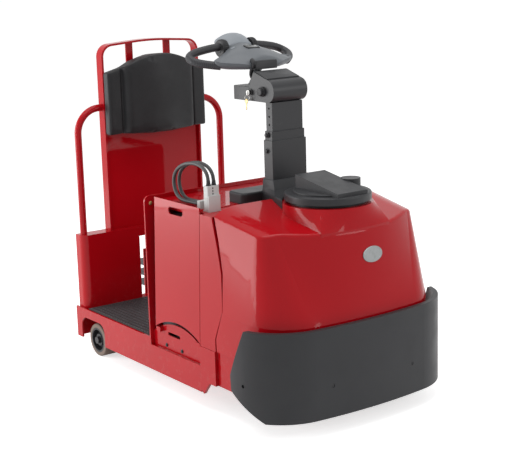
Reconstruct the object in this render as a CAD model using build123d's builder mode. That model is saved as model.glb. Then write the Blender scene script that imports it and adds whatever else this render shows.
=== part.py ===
"""Stand-up electric tow tractor. Millimetres, +X forward, +Y left, +Z up, origin on the ground."""
from build123d import *
from math import atan2, cos, radians, sin, sqrt, tan
import os

os.makedirs("parts", exist_ok=True)

# Overall layout
half_width = 400.0
rear_x = -710.0
ground_gap = 66.0
deck_z = 200.0
bulkhead_x = -100.0
plate = 8.0
sheet = 5.0
seam_gap = 3.0
run_gap = 8.0
seat_gap = 1.0
cut_over = 100.0

# Rear load wheels
wheel_radius = 71.0
wheel_width = 90.0
wheel_x = -569.0
wheel_inset = 20.0
wheel_tread = 17.0
wheel_web = 44.0
axle_radius = 15.0
axle_play = 0.05
hanger_gap = 12.0
hanger_half = 46.0
hanger_plate = 14.0
axle_tube_radius = 30.0
axle_end = 6.0
tyre_shoulder = 6.0
boss_half = 38.0
boss_radius = 26.0
rim_wall = 8.0
hub_draft = 2.0
arch_gap = 20.0
arch_corner = 42.0
arch_spread = 7.0

# Operator platform and rear wall
wall_depth = 74.0
wall_top_z = 520.0
wall_inset = 13.0
wall_corner = 34.0
opening_half = 108.0
opening_top_z = 478.0
mat_thickness = 8.0
mat_margin = 8.0
mat_gap = 2.0
mat_corner = 6.0
mat_recess = 2.0
tow_plate_top_z = 398.0
tow_plate_margin = 8.0

# Backrest
hoop_half = 245.0
hoop_depth = 46.0
hoop_bar = 9.0
hoop_side_top_z = 1322.0
hoop_crown = 17.0
hoop_crown_radius = 1200.0
hoop_corner = 50.0
hoop_setback = 10.0
slat_offset = 95.0
slat_width = 32.0
slat_overlap = 90.0
back_panel_top_z = 1150.0
back_panel_recess = 20.0
pad_half = 249.0
pad_bottom_z = 942.0
pad_shoulder_z = 1208.0
pad_top_z = 1276.0
pad_wing_depth = 44.0
pad_bulge_half = 172.0
pad_bulge_depth = 46.0
pad_corner = 20.0
pad_shoulder_rise = 26.0

# Grab tubes
tube_radius = 15.0
tube_inset = 35.0
tube_top_z = 1058.0
tube_bend = 105.0

# Bulkhead and battery bay
bulkhead_top_z = 772.0
bulkhead_corner = 24.0
sill_z = 170.0
bay_front_x = 262.0
bay_wall_gap = 8.0
cover_z = 756.0
cover_skirt = 25.0
cover_front_x = 222.0
cover_side_gap = 28.0
ledge = 22.0
cover_round = 6.0
battery_length = 330.0
battery_side_gap = 52.0
battery_height = 570.0
deck_flange = 34.0
deck_lap = 7.0

# Side gates and posts, which lean inwards above the fold
fold_z = 250.0
gate_height = 524.0
gate_lean = 20.0
gate_rear_gap = 50.0
gate_foot = 8.0
gate_arch_rise = 42.0
gate_slot_length = 100.0
gate_slot_height = 28.0
gate_slot_drop = 37.0
gate_slot_from_rear = 150.0
post_top_z = 752.0
post_flange = 26.0
leg_proud = 4.0
leg_tip_forward = 22.0
leg_heel_forward = 62.0
leg_front_z = 116.0
leg_toe_rise = 14.0
bracket_height = 112.0
bracket_slot_length = 86.0
bracket_slot_height = 14.0
bracket_slot_from_rear = 149.0
bracket_slot_rise = 67.0
bracket_thickness = 6.0
rest_from_end = 16.0
rest_length = 28.0
rest_height = 18.0
rest_drop = 10.0

# Front frame and bumper
nose_x = 800.0
bow_radius = 2100.0
bumper_overhang = 62.0
bumper_corner = 232.0
bumper_wall = 20.0
bumper_bottom_z = 66.0
bumper_top_z = 397.0
bumper_cheek_x = 545.0
bumper_cheek_z = 223.0
bumper_cheek_low_z = 165.0
bumper_cheek_slope = 3.0
bumper_top_rear_x = 619.0
bumper_heel_x = 690.0
bolt_radius = 6.5
front_bolt_y = 190.0
front_bolt_z = 184.0
side_bolt_x = 612.0
side_bolt_z = 195.0
frame_nose_gap = 14.0

# Hood
hood_bottom_z = 250.0
hood_shoulder_z = 400.0
hood_brow_z = 714.0
hood_ceiling_z = 800.0
hood_nose_gap = 12.0
hood_ceiling_x = 709.4
hood_side_gap = 2.0
hood_ceiling_half = 349.6
hood_bow_low = 2000.0
hood_bow_high = 586.0
hood_corner_low = 180.0
hood_corner_high = 50.0
hood_deck_rear_x = 341.0
hood_deck_rear_z = 785.0
hood_deck_front_x = 703.0
hood_deck_flat = 280.0
hood_deck_round = 155.0
hood_edge = 14.0
hood_wall = 5.0
hood_flange = 14.0
hood_seam_gap = 6.0
turret_lip = 7.0
turret_foot = 4.0
turret_foot_y = 162.0
turret_sunk = 18.0
turret_gap = 11.0

# Drive unit
drive_x = 547.0
drive_wheel_radius = 150.0
drive_wheel_width = 100.0
drive_tread = 25.0
drive_axle_radius = 22.0
drive_boss_radius = 45.0
drive_web = 36.0
case_half = 64.0
case_edge = 14.0
race_gap = 2.0
drive_deck_z = 372.0
race_radius = 150.0
race_height = 18.0
motor_radius = 100.0
motor_top_z = 690.0
gear_case_width = 64.0
drive_deck_reach = 178.0
web_front_x = 500.0

# Turntable cover on the hood
cover_radius = 161.0
cover_rim_z = 801.0
cover_rim_height = 27.0
cover_step_radius = 128.0
cover_step_height = 8.0
cover_step_edge = 5.0
cover_box_rear_x = 445.0
cover_box_front_x = 688.0
cover_box_half = 70.0
cover_box_rear_z = 884.0
cover_box_front_z = 842.0
cover_boss_radius = 38.0
cover_boss_y = 98.0
cover_boss_x = 560.0
cover_boss_z = 866.0

# Steering mast and head
mast_front_x = 324.0
mast_half = 81.0
mast_depth = 56.0
mast_sleeve_top_z = 996.0
mast_collar_top_z = 1030.0
mast_step = 4.0
mast_wall = 5.0
mast_corner = 3.0
column_depth = 38.0
column_half = 72.0
column_engaged = 160.0
column_hole_z = 1085.0
column_hole_pitch = 31.0
column_hole_count = 3
column_hole_radius = 4.0
cowl_rear_x = 255.0
cowl_rear_half = 84.0
cowl_front_half = 140.0
cowl_apron_z = 798.0
cowl_edge = 5.0
cowl_flare_front_x = 380.0
cowl_waist_z = 815.0
cowl_waist_rear_x = 261.0
cowl_waist_front_x = 350.0
cowl_waist_rear_half = 85.0
cowl_waist_front_half = 97.0
cowl_top_z = 848.0
base_rear_x = 148.0
base_half = 173.0
base_top_z = 798.0
base_corner = 22.0
base_edge = 8.0
head_bottom_z = 1138.0
head_half = 80.0
head_roll_radius = 41.0
head_roll_x = 298.0
head_top_z = 1249.0
head_top_rear_x = 214.0
head_block_rear_x = 82.0
head_block_half = 68.0
head_block_top_z = 1190.0
head_rear_x = 180.0
head_roll_z = 1184.0
head_brow = 6.0
head_brow_drop = 3.0
head_block_corner = 24.0
head_knob_x = 251.0
head_knob_z = 1175.0
head_knob_radius = 17.0
head_knob_depth = 16.0
key_x = 160.0
key_z = 1168.0
key_radius = 12.0
key_depth = 8.0
key_bow = 5.0

# Steering handle
handle_axis_x = 122.0
handle_gap = 8.0
handle_front_x = 96.0
handle_rear_x = -62.0
handle_front_half = 150.0
handle_rear_half = 58.0
handle_rise = 78.0
handle_front_thick = 24.0
handle_rear_thick = 44.0
grip_radius = 15.0
grip_half = 226.0
thumb_radius = 32.0
thumb_width = 28.0
hub_front_x = 190.0
hub_half = 52.0
neck_radius = 26.0
neck_bush = 6.0
neck_gap = 0.3
handle_corner = 10.0
handle_waist_x = 0.0
handle_waist_rise = 46.0
handle_waist_thick = 40.0
handle_waist_half = 72.0
handle_cap_half = 57.0
handle_cap_over = 14.0
handle_cap_drop = 22.0
handle_cap_length = 52.0
handle_cap_round = 9.0
thumb_x = -38.0
thumb_z = 1352.0
grip_sunk = 12.0
grip_root = 20.0
thumb_gap = 2.0
grip_start_x = -32.0
grip_start_z = 1354.0
grip_upper_x = -14.0
grip_upper_y = 200.0
grip_upper_z = 1322.0
grip_tip_x = 10.0
grip_tip_z = 1288.0
grip_end_x = 66.0
grip_end_z = 1274.0
grip_bend = 24.0

# Tow coupler
jaw_radius = 42.0
jaw_thickness = 15.0
jaw_step = 47.0
jaw_low_z = 222.0
jaw_count = 3
pin_radius = 12.0
pin_play = 0.05
pin_tail = 8.0
pin_collar = 6.0
pin_head = 16.0
coupler_reach = 90.0

# Battery connector and leads
connector_x = 246.0
connector_y = -312.0
connector_height = 92.0
connector_length = 52.0
connector_thickness = 30.0
lead_radius = 7.0
lead_spacing = 24.0
lead_arc_share = 0.45
gland_x = 184.0
gland_length = 24.0
gland_height = 30.0

# Derived places
frame_top_z = hood_bottom_z
wall_front_x = rear_x + wall_depth
wheel_y = half_width - wheel_inset - wheel_width / 2
floor_z = deck_z - mat_thickness - mat_recess
inner_half = half_width - plate
frame_half = inner_half - plate
gate_rear_x = bulkhead_x + gate_rear_gap
lean = atan2(gate_lean, gate_height)
hoop_front_x = wall_front_x - hoop_setback
hoop_rear_x = hoop_front_x - hoop_depth
tube_x = (hoop_front_x + hoop_rear_x) / 2
tube_y = half_width - tube_inset
bumper_half = half_width + bumper_overhang
hood_nose_low = nose_x - bumper_wall - hood_nose_gap
hood_nose_lean = (hood_nose_low - hood_ceiling_x) / (hood_ceiling_z - hood_shoulder_z)
hood_brow_x = hood_nose_low - hood_nose_lean * (hood_brow_z - hood_shoulder_z)
deck_slope = (hood_deck_rear_z - hood_brow_z) / (hood_deck_front_x - hood_deck_rear_x)
frame_nose_x = nose_x - bumper_wall - frame_nose_gap
hood_half = half_width - hood_side_gap
turret_radius = cover_radius + turret_lip
turret_top_z = cover_rim_z - turret_gap
mast_rear_x = mast_front_x - mast_depth
mast_mid_x = mast_front_x - mast_depth / 2
handle_low_z = head_top_z + handle_gap
coupler_tip_x = rear_x - coupler_reach
pin_x = coupler_tip_x + jaw_radius


def lean_at(z):
    """How far the gates and posts stand inwards at a height."""
    return max(0.0, z - fold_z) * gate_lean / gate_height


def bowed_plan(nose, half, bow, corner, rear, rear_half):
    """Plan face: bowed front, round corners and straight sides back to the rear line."""
    centre_x = nose - bow
    corner_y = half - corner
    corner_x = centre_x + sqrt((bow - corner) ** 2 - corner_y**2)
    turn = atan2(corner_y, corner_x - centre_x)
    join = (centre_x + bow * cos(turn), bow * sin(turn))
    middle = (turn + radians(90.0)) / 2
    knee = (corner_x + corner * cos(middle), corner_y + corner * sin(middle))
    with BuildSketch() as plan:
        with BuildLine():
            Line((rear, -rear_half), (corner_x, -half))
            ThreePointArc((corner_x, -half), (knee[0], -knee[1]), (join[0], -join[1]))
            ThreePointArc((join[0], -join[1]), (nose, 0.0), join)
            ThreePointArc(join, knee, (corner_x, half))
            Line((corner_x, half), (rear, rear_half))
            Line((rear, rear_half), (rear, -rear_half))
        make_face()
    return plan.sketch


def crown_drop(y, inset):
    """How far the hood's deck has rounded down at a distance from the middle."""
    round_radius = hood_deck_round - inset
    return round_radius - sqrt(round_radius**2 - max(0.0, y - hood_deck_flat) ** 2)


# The seam between post and hood, as places along X and Z
seam = (
    (hood_deck_rear_x, post_top_z),
    (375.0, 650.0),
    (403.0, 553.0),
    (410.0, 413.0),
    (364.0, 300.0),
    (366.0, fold_z),
)
leg_front_x = seam[-1][0]

# Side plates: skirt, wheel arch and battery sill in one plate
with BuildPart() as side_plates:
    with BuildSketch(Plane.XZ.offset(inner_half)):
        with BuildLine():
            Polyline(
                (rear_x, ground_gap),
                (bay_front_x, ground_gap),
                (bay_front_x, sill_z),
                (bulkhead_x + plate, sill_z),
                (bulkhead_x + plate, deck_z),
                (rear_x, deck_z),
                close=True,
            )
        make_face()
        with Locations((wheel_x, wheel_radius)):
            RectangleRounded(
                2 * (wheel_radius + arch_gap + arch_spread), 2 * (wheel_radius + arch_gap), arch_corner,
                mode=Mode.SUBTRACT,
            )
    extrude(amount=plate)
    mirror(about=Plane.XZ)
side_plates.part.label = "side_plates"
export_step(side_plates.part, "parts/side_plates.step")

# Platform floor with the rear cross plate that carries the coupler
with BuildPart() as platform_floor:
    with BuildSketch(Plane.XY.offset(floor_z - plate)):
        with Locations(((rear_x + bulkhead_x) / 2, 0)):
            Rectangle(bulkhead_x - rear_x, 2 * inner_half)
    extrude(amount=plate)
    with BuildSketch(Plane.YZ.offset(rear_x)):
        with Locations((0, (ground_gap + floor_z) / 2)):
            Rectangle(2 * inner_half, floor_z - ground_gap)
    extrude(amount=plate)
    with BuildSketch(Plane.YZ.offset(rear_x)):
        with Locations((0, (ground_gap + tow_plate_top_z) / 2)):
            Rectangle(2 * (jaw_radius + tow_plate_margin), tow_plate_top_z - ground_gap)
    extrude(amount=plate)
platform_floor.part.label = "platform_floor"
export_step(platform_floor.part, "parts/platform_floor.step")

# Anti-fatigue mat laid in the floor
with BuildPart() as platform_mat:
    with BuildSketch(Plane.XY.offset(floor_z)):
        with Locations(((wall_front_x + bulkhead_x) / 2, 0)):
            RectangleRounded(
                bulkhead_x - wall_front_x - 2 * mat_gap, 2 * (inner_half - mat_margin), mat_corner
            )
    extrude(amount=mat_thickness)
platform_mat.part.label = "platform_mat"
export_step(platform_mat.part, "parts/platform_mat.step")

# Rear wall: folded box with round corners and an opening in the middle
wall_half = half_width - wall_inset
with BuildPart() as rear_wall:
    with BuildSketch(Plane.XY.offset(floor_z)):
        with BuildLine():
            FilletPolyline(
                (rear_x + plate, -wall_half),
                (wall_front_x, -wall_half),
                (wall_front_x, wall_half),
                (rear_x + plate, wall_half),
                radius=wall_corner,
            )
            Line((rear_x + plate, wall_half), (rear_x + plate, -wall_half))
        make_face()
    extrude(amount=wall_top_z - floor_z)
    with BuildSketch(Plane.XY.offset(floor_z)):
        with BuildLine():
            FilletPolyline(
                (rear_x + plate, -wall_half + sheet),
                (wall_front_x - sheet, -wall_half + sheet),
                (wall_front_x - sheet, wall_half - sheet),
                (rear_x + plate, wall_half - sheet),
                radius=wall_corner - sheet,
            )
            Line((rear_x + plate, wall_half - sheet), (rear_x + plate, -wall_half + sheet))
        make_face()
    extrude(amount=wall_top_z - floor_z - sheet, mode=Mode.SUBTRACT)
    with BuildSketch(Plane.YZ.offset(rear_x + plate)):
        with Locations((0, (floor_z + wall_top_z) / 2)):
            Rectangle(2 * wall_half, wall_top_z - floor_z)
    extrude(amount=sheet)
    with BuildSketch(Plane.YZ.offset(rear_x + plate)):
        for side in (-1, 1):
            with Locations((side * (opening_half + sheet / 2), (floor_z + wall_top_z) / 2)):
                Rectangle(sheet, wall_top_z - floor_z)
        with Locations((0, opening_top_z + sheet / 2)):
            Rectangle(2 * opening_half + 2 * sheet, sheet)
    extrude(amount=wall_depth - plate)
    with BuildSketch(Plane.YZ.offset(rear_x)):
        with Locations((0, (floor_z + opening_top_z) / 2)):
            Rectangle(2 * opening_half, opening_top_z - floor_z)
    extrude(amount=wall_depth + plate, mode=Mode.SUBTRACT)
rear_wall.part.label = "rear_wall"
export_step(rear_wall.part, "parts/rear_wall.step")

# Backrest hoop: flat bar bent over, with two slats behind the pad
panel_x = hoop_front_x - back_panel_recess
slat_bottom_z = back_panel_top_z - slat_overlap
with BuildPart() as backrest_hoop:
    with BuildSketch(Plane.YZ.offset(hoop_rear_x)):
        with BuildLine():
            FilletPolyline(
                (-hoop_half + hoop_bar / 2, wall_top_z),
                (-hoop_half + hoop_bar / 2, hoop_side_top_z - hoop_bar / 2),
                (0, hoop_side_top_z + hoop_crown - hoop_bar / 2),
                (hoop_half - hoop_bar / 2, hoop_side_top_z - hoop_bar / 2),
                (hoop_half - hoop_bar / 2, wall_top_z),
                radius=(hoop_corner, hoop_crown_radius, hoop_corner),
            )
        trace(line_width=hoop_bar)
    extrude(amount=hoop_depth)
    slat_top_z = hoop_side_top_z + hoop_crown - 3 * hoop_bar / 2
    with BuildSketch(Plane.YZ.offset(panel_x)):
        for side in (-1, 1):
            with Locations((side * slat_offset, slat_top_z)):
                Rectangle(slat_width, slat_top_z - slat_bottom_z, align=(Align.CENTER, Align.MAX))
    extrude(amount=-hoop_bar)
backrest_hoop.part.label = "backrest_hoop"
export_step(backrest_hoop.part, "parts/backrest_hoop.step")

# Backrest panel between the hoop's legs
with BuildPart() as backrest_panel:
    with BuildSketch(Plane.YZ.offset(panel_x)):
        with Locations((0, (wall_top_z + back_panel_top_z) / 2)):
            Rectangle(2 * (hoop_half - hoop_bar), back_panel_top_z - wall_top_z)
    extrude(amount=sheet)
backrest_panel.part.label = "backrest_panel"
export_step(backrest_panel.part, "parts/backrest_panel.step")

# Backrest pad: two wings and a domed centre that bulges forward
shoulder_z = pad_shoulder_z + pad_shoulder_rise
with BuildPart() as backrest_pad:
    with BuildSketch(Plane.YZ.offset(panel_x + sheet)):
        with Locations((0, (pad_bottom_z + back_panel_top_z) / 2)):
            Rectangle(2 * (hoop_half - 2 * hoop_bar), back_panel_top_z - pad_bottom_z - 2 * pad_corner)
    extrude(amount=back_panel_recess - sheet)
    with BuildSketch(Plane.YZ.offset(hoop_front_x)):
        with BuildLine():
            Polyline(
                (-pad_bulge_half, shoulder_z),
                (-pad_half, pad_shoulder_z),
                (-pad_half, pad_bottom_z),
                (pad_half, pad_bottom_z),
                (pad_half, pad_shoulder_z),
                (pad_bulge_half, shoulder_z),
            )
            ThreePointArc((pad_bulge_half, shoulder_z), (0, pad_top_z), (-pad_bulge_half, shoulder_z))
        make_face()
    extrude(amount=pad_wing_depth)
    with BuildSketch(Plane.XY.offset(pad_bottom_z)):
        with BuildLine():
            Line((hoop_front_x, -pad_bulge_half), (hoop_front_x, pad_bulge_half))
            Line((hoop_front_x, pad_bulge_half), (hoop_front_x + pad_wing_depth, pad_bulge_half))
            ThreePointArc(
                (hoop_front_x + pad_wing_depth, pad_bulge_half),
                (hoop_front_x + pad_wing_depth + pad_bulge_depth, 0),
                (hoop_front_x + pad_wing_depth, -pad_bulge_half),
            )
            Line((hoop_front_x + pad_wing_depth, -pad_bulge_half), (hoop_front_x, -pad_bulge_half))
        make_face()
    extrude(amount=pad_top_z - pad_bottom_z)
    with BuildSketch(Plane.YZ.offset(hoop_front_x)):
        with BuildLine():
            Line((-pad_half, pad_top_z + cut_over), (-pad_half, shoulder_z))
            Line((-pad_half, shoulder_z), (-pad_bulge_half, shoulder_z))
            ThreePointArc((-pad_bulge_half, shoulder_z), (0, pad_top_z), (pad_bulge_half, shoulder_z))
            Line((pad_bulge_half, shoulder_z), (pad_half, shoulder_z))
            Line((pad_half, shoulder_z), (pad_half, pad_top_z + cut_over))
            Line((pad_half, pad_top_z + cut_over), (-pad_half, pad_top_z + cut_over))
        make_face()
    extrude(amount=pad_wing_depth + pad_bulge_depth + cut_over, mode=Mode.SUBTRACT)
backrest_pad.part.label = "backrest_pad"
export_step(backrest_pad.part, "parts/backrest_pad.step")

# Grab tubes from the rear wall up and over to the hoop
with BuildPart() as grab_tubes:
    with BuildLine() as tube_line:
        FilletPolyline(
            (tube_x, -tube_y, wall_top_z),
            (tube_x, -tube_y, tube_top_z),
            (tube_x, -hoop_half, tube_top_z),
            radius=tube_bend,
        )
    with BuildSketch(Plane((tube_x, -tube_y, wall_top_z), z_dir=(0, 0, 1))):
        Circle(tube_radius)
    sweep(path=tube_line.line)
    mirror(about=Plane.XZ)
grab_tubes.part.label = "grab_tubes"
export_step(grab_tubes.part, "parts/grab_tubes.step")

# Bulkhead between operator and battery, with a ledge for the cover
with BuildPart() as bulkhead:
    with BuildSketch(Plane.YZ.offset(bulkhead_x)):
        with BuildLine():
            FilletPolyline(
                (-half_width, deck_z),
                (-half_width, bulkhead_top_z),
                (half_width, bulkhead_top_z),
                (half_width, deck_z),
                radius=bulkhead_corner,
            )
            Polyline(
                (half_width, deck_z),
                (inner_half, deck_z),
                (inner_half, leg_front_z),
                (-inner_half, leg_front_z),
                (-inner_half, deck_z),
                (-half_width, deck_z),
            )
        make_face()
    extrude(amount=plate)
    with BuildSketch(Plane.YZ.offset(bulkhead_x + plate)):
        with Locations((0, cover_z - cover_skirt - sheet / 2)):
            Rectangle(2 * (inner_half - 2 * gate_lean), sheet)
    extrude(amount=ledge)
bulkhead.part.label = "bulkhead"
export_step(bulkhead.part, "parts/bulkhead.step")

# Side gate in the leaning plane: hand slot near the top, arched foot
gate_length = bay_front_x - gate_rear_x
gate_plane = Plane(
    origin=(0, -half_width, fold_z), x_dir=(1, 0, 0), z_dir=(0, -cos(lean), sin(lean))
)
gate_slope_height = gate_height / cos(lean)
with BuildPart() as side_gate_right:
    with BuildSketch(gate_plane):
        with BuildLine():
            Polyline(
                (bay_front_x, gate_foot),
                (bay_front_x, gate_slope_height),
                (gate_rear_x, gate_slope_height),
                (gate_rear_x, gate_foot),
            )
            ThreePointArc(
                (gate_rear_x, gate_foot),
                (gate_rear_x + gate_length / 2, gate_foot + gate_arch_rise),
                (bay_front_x, gate_foot),
            )
        make_face()
        with Locations((gate_rear_x + gate_slot_from_rear, gate_slope_height - gate_slot_drop)):
            SlotOverall(gate_slot_length, gate_slot_height, mode=Mode.SUBTRACT)
    extrude(amount=-sheet)
side_gate_right.part.label = "side_gate_right"
export_step(side_gate_right.part, "parts/side_gate_right.step")

with BuildPart() as side_gate_left:
    add(mirror(side_gate_right.part, about=Plane.XZ, mode=Mode.PRIVATE))
side_gate_left.part.label = "side_gate_left"
export_step(side_gate_left.part, "parts/side_gate_left.step")

# Post: leaning upper plate, bent top flange and a straight leg with a pointed foot
post_rear_x = bay_front_x + seam_gap
post_half_top = half_width - lean_at(post_top_z)
with BuildPart() as posts:
    with BuildSketch(gate_plane):
        with BuildLine():
            Polyline(
                (post_rear_x, 0.0),
                (post_rear_x, (post_top_z - fold_z) / cos(lean)),
                *[(x, (z - fold_z) / cos(lean)) for x, z in seam],
                close=True,
            )
        make_face()
    extrude(amount=-plate)
    with BuildSketch(Plane.XY.offset(post_top_z - sheet)):
        with Locations(((post_rear_x + hood_deck_rear_x) / 2, -post_half_top + post_flange / 2)):
            Rectangle(hood_deck_rear_x - post_rear_x, post_flange)
    extrude(amount=sheet)
    with BuildSketch(Plane.XZ.offset(inner_half)):
        with BuildLine():
            Polyline(
                (post_rear_x, fold_z),
                (post_rear_x, ground_gap + leg_toe_rise),
                (bay_front_x + leg_tip_forward, ground_gap),
                (bay_front_x + leg_heel_forward, leg_front_z),
                (leg_front_x, leg_front_z),
                (leg_front_x, fold_z),
                close=True,
            )
        make_face()
    extrude(amount=plate + leg_proud)
    mirror(about=Plane.XZ)
posts.part.label = "posts"
export_step(posts.part, "parts/posts.step")

# Gate brackets seen through the arched foot, with a slot and two rests for the gate
bracket_rear_x = bulkhead_x + plate
bracket_length = bay_front_x - bracket_rear_x
with BuildPart() as gate_brackets:
    with BuildSketch(Plane.XZ.offset(frame_half - bracket_thickness)):
        with BuildLine():
            Polyline(
                (bay_front_x, sill_z + bracket_height / 2),
                (bay_front_x, leg_front_z),
                (bracket_rear_x, leg_front_z),
                (bracket_rear_x, sill_z + bracket_height / 2),
            )
            ThreePointArc(
                (bracket_rear_x, sill_z + bracket_height / 2),
                (bracket_rear_x + bracket_length / 2, sill_z + bracket_height),
                (bay_front_x, sill_z + bracket_height / 2),
            )
        make_face()
        with Locations((bracket_rear_x + bracket_slot_from_rear, sill_z + bracket_slot_rise)):
            SlotOverall(bracket_slot_length, bracket_slot_height, mode=Mode.SUBTRACT)
    extrude(amount=bracket_thickness)
    with BuildSketch(Plane.XZ.offset(frame_half)):
        for x in (gate_rear_x + rest_from_end, bay_front_x - rest_from_end):
            with Locations((x, fold_z + gate_foot - rest_drop)):
                Rectangle(rest_length, rest_height)
    extrude(amount=half_width - frame_half - seat_gap)
    mirror(about=Plane.XZ)
gate_brackets.part.label = "gate_brackets"
export_step(gate_brackets.part, "parts/gate_brackets.step")

# Battery tray and the wall that closes the bay at the front
with BuildPart() as battery_tray:
    with BuildSketch(Plane.XY.offset(leg_front_z)):
        with Locations(((bulkhead_x + plate + bay_front_x + bay_wall_gap) / 2, 0)):
            Rectangle(bay_front_x + bay_wall_gap - bulkhead_x - plate, 2 * (frame_half - bracket_thickness))
    extrude(amount=plate)
    with BuildSketch(Plane.YZ.offset(bay_front_x + bay_wall_gap)):
        with BuildLine():
            wall_top_half = half_width - lean_at(post_top_z) - plate - seat_gap
            wall_fold_half = frame_half - bracket_thickness
            Polyline(
                (-wall_fold_half, leg_front_z),
                (wall_fold_half, leg_front_z),
                (wall_fold_half, fold_z),
                (wall_top_half, post_top_z - sheet),
                (-wall_top_half, post_top_z - sheet),
                (-wall_fold_half, fold_z),
                close=True,
            )
        make_face()
    extrude(amount=sheet)
battery_tray.part.label = "battery_tray"
export_step(battery_tray.part, "parts/battery_tray.step")

# Battery block
with BuildPart() as battery:
    with BuildSketch(Plane.XY.offset(leg_front_z + plate)):
        with Locations(((bulkhead_x + plate + bay_front_x) / 2, 0)):
            Rectangle(battery_length, 2 * (half_width - battery_side_gap))
    extrude(amount=battery_height)
battery.part.label = "battery"
export_step(battery.part, "parts/battery.step")

# Battery cover: shallow lid between bulkhead and deck panel
cover_half = half_width - gate_lean - cover_side_gap
cover_rear_x = bulkhead_x + plate + seat_gap
with BuildPart() as battery_cover:
    with BuildSketch(Plane.XY.offset(cover_z - cover_skirt)):
        with Locations(((cover_rear_x + cover_front_x) / 2, 0)):
            Rectangle(cover_front_x - cover_rear_x, 2 * cover_half)
    extrude(amount=cover_skirt)
    fillet(battery_cover.edges().group_by(Axis.Z)[-1], radius=cover_round)
    with BuildSketch(Plane.XY.offset(cover_z - cover_skirt)):
        with Locations(((cover_rear_x + cover_front_x) / 2, 0)):
            Rectangle(cover_front_x - cover_rear_x - 2 * sheet, 2 * (cover_half - sheet))
    extrude(amount=cover_skirt - sheet, mode=Mode.SUBTRACT)
battery_cover.part.label = "battery_cover"
export_step(battery_cover.part, "parts/battery_cover.step")

# Deck panel between the posts, under the mast
deck_rear_x = cover_front_x + seam_gap
deck_front_x = hood_deck_rear_x + hood_seam_gap + deck_lap
deck_lip_inset = hood_wall + seat_gap
deck_lip_z = hood_deck_rear_z - (deck_front_x - hood_deck_rear_x) * deck_slope - deck_lip_inset
deck_front_half = post_half_top - post_flange
deck_lip_mid = (hood_deck_flat + deck_front_half) / 2
with BuildPart() as deck_panel:
    with BuildSketch(Plane.XY.offset(post_top_z - sheet)):
        with Locations(((deck_rear_x + hood_deck_rear_x) / 2, 0)):
            Rectangle(hood_deck_rear_x - deck_rear_x, 2 * deck_front_half)
    extrude(amount=sheet)
    with BuildSketch(Plane.YZ.offset(deck_rear_x)):
        with Locations((0, post_top_z - deck_flange / 2)):
            Rectangle(2 * deck_front_half, deck_flange)
    extrude(amount=sheet)
    with BuildSketch(Plane.YZ.offset(deck_rear_x)):
        with Locations((0, cover_z - cover_skirt - sheet / 2)):
            Rectangle(2 * (inner_half - 2 * gate_lean), sheet)
    extrude(amount=-ledge)
    with BuildSketch(Plane.XY.offset(post_top_z - sheet)):
        with Locations(((hood_deck_rear_x + deck_front_x) / 2, 0)):
            Rectangle(deck_front_x - hood_deck_rear_x, 2 * deck_front_half)
    extrude(amount=sheet)
    with BuildSketch(Plane.YZ.offset(deck_front_x)):
        with BuildLine():
            Line((-hood_deck_flat, deck_lip_z), (hood_deck_flat, deck_lip_z))
            ThreePointArc(
                (hood_deck_flat, deck_lip_z),
                (deck_lip_mid, deck_lip_z - crown_drop(deck_lip_mid, deck_lip_inset)),
                (deck_front_half, deck_lip_z - crown_drop(deck_front_half, deck_lip_inset)),
            )
            Polyline(
                (deck_front_half, deck_lip_z - crown_drop(deck_front_half, deck_lip_inset)),
                (deck_front_half, post_top_z - sheet),
                (-deck_front_half, post_top_z - sheet),
                (-deck_front_half, deck_lip_z - crown_drop(deck_front_half, deck_lip_inset)),
            )
            ThreePointArc(
                (-deck_front_half, deck_lip_z - crown_drop(deck_front_half, deck_lip_inset)),
                (-deck_lip_mid, deck_lip_z - crown_drop(deck_lip_mid, deck_lip_inset)),
                (-hood_deck_flat, deck_lip_z),
            )
        make_face()
    extrude(amount=-sheet)
deck_panel.part.label = "deck_panel"
export_step(deck_panel.part, "parts/deck_panel.step")

# Front frame: a bowed skirt between the legs and the bumper
with BuildPart() as front_frame:
    with BuildSketch(Plane.XY.offset(leg_front_z)):
        add(bowed_plan(frame_nose_x, inner_half, bow_radius, bumper_corner, bulkhead_x + plate, inner_half))
        add(
            bowed_plan(
                frame_nose_x - plate, frame_half, bow_radius - plate, bumper_corner - plate,
                bulkhead_x, frame_half,
            ),
            mode=Mode.SUBTRACT,
        )
    extrude(amount=frame_top_z - leg_front_z)
    with BuildSketch(Plane.XZ):
        with BuildLine():
            Polyline(
                (bulkhead_x, sill_z - seam_gap),
                (bay_front_x, sill_z - seam_gap),
                (bay_front_x, frame_top_z + seat_gap),
                (bulkhead_x, frame_top_z + seat_gap),
                close=True,
            )
        make_face()
    extrude(amount=half_width, both=True, mode=Mode.SUBTRACT)
front_frame.part.label = "front_frame"
export_step(front_frame.part, "parts/front_frame.step")

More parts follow.
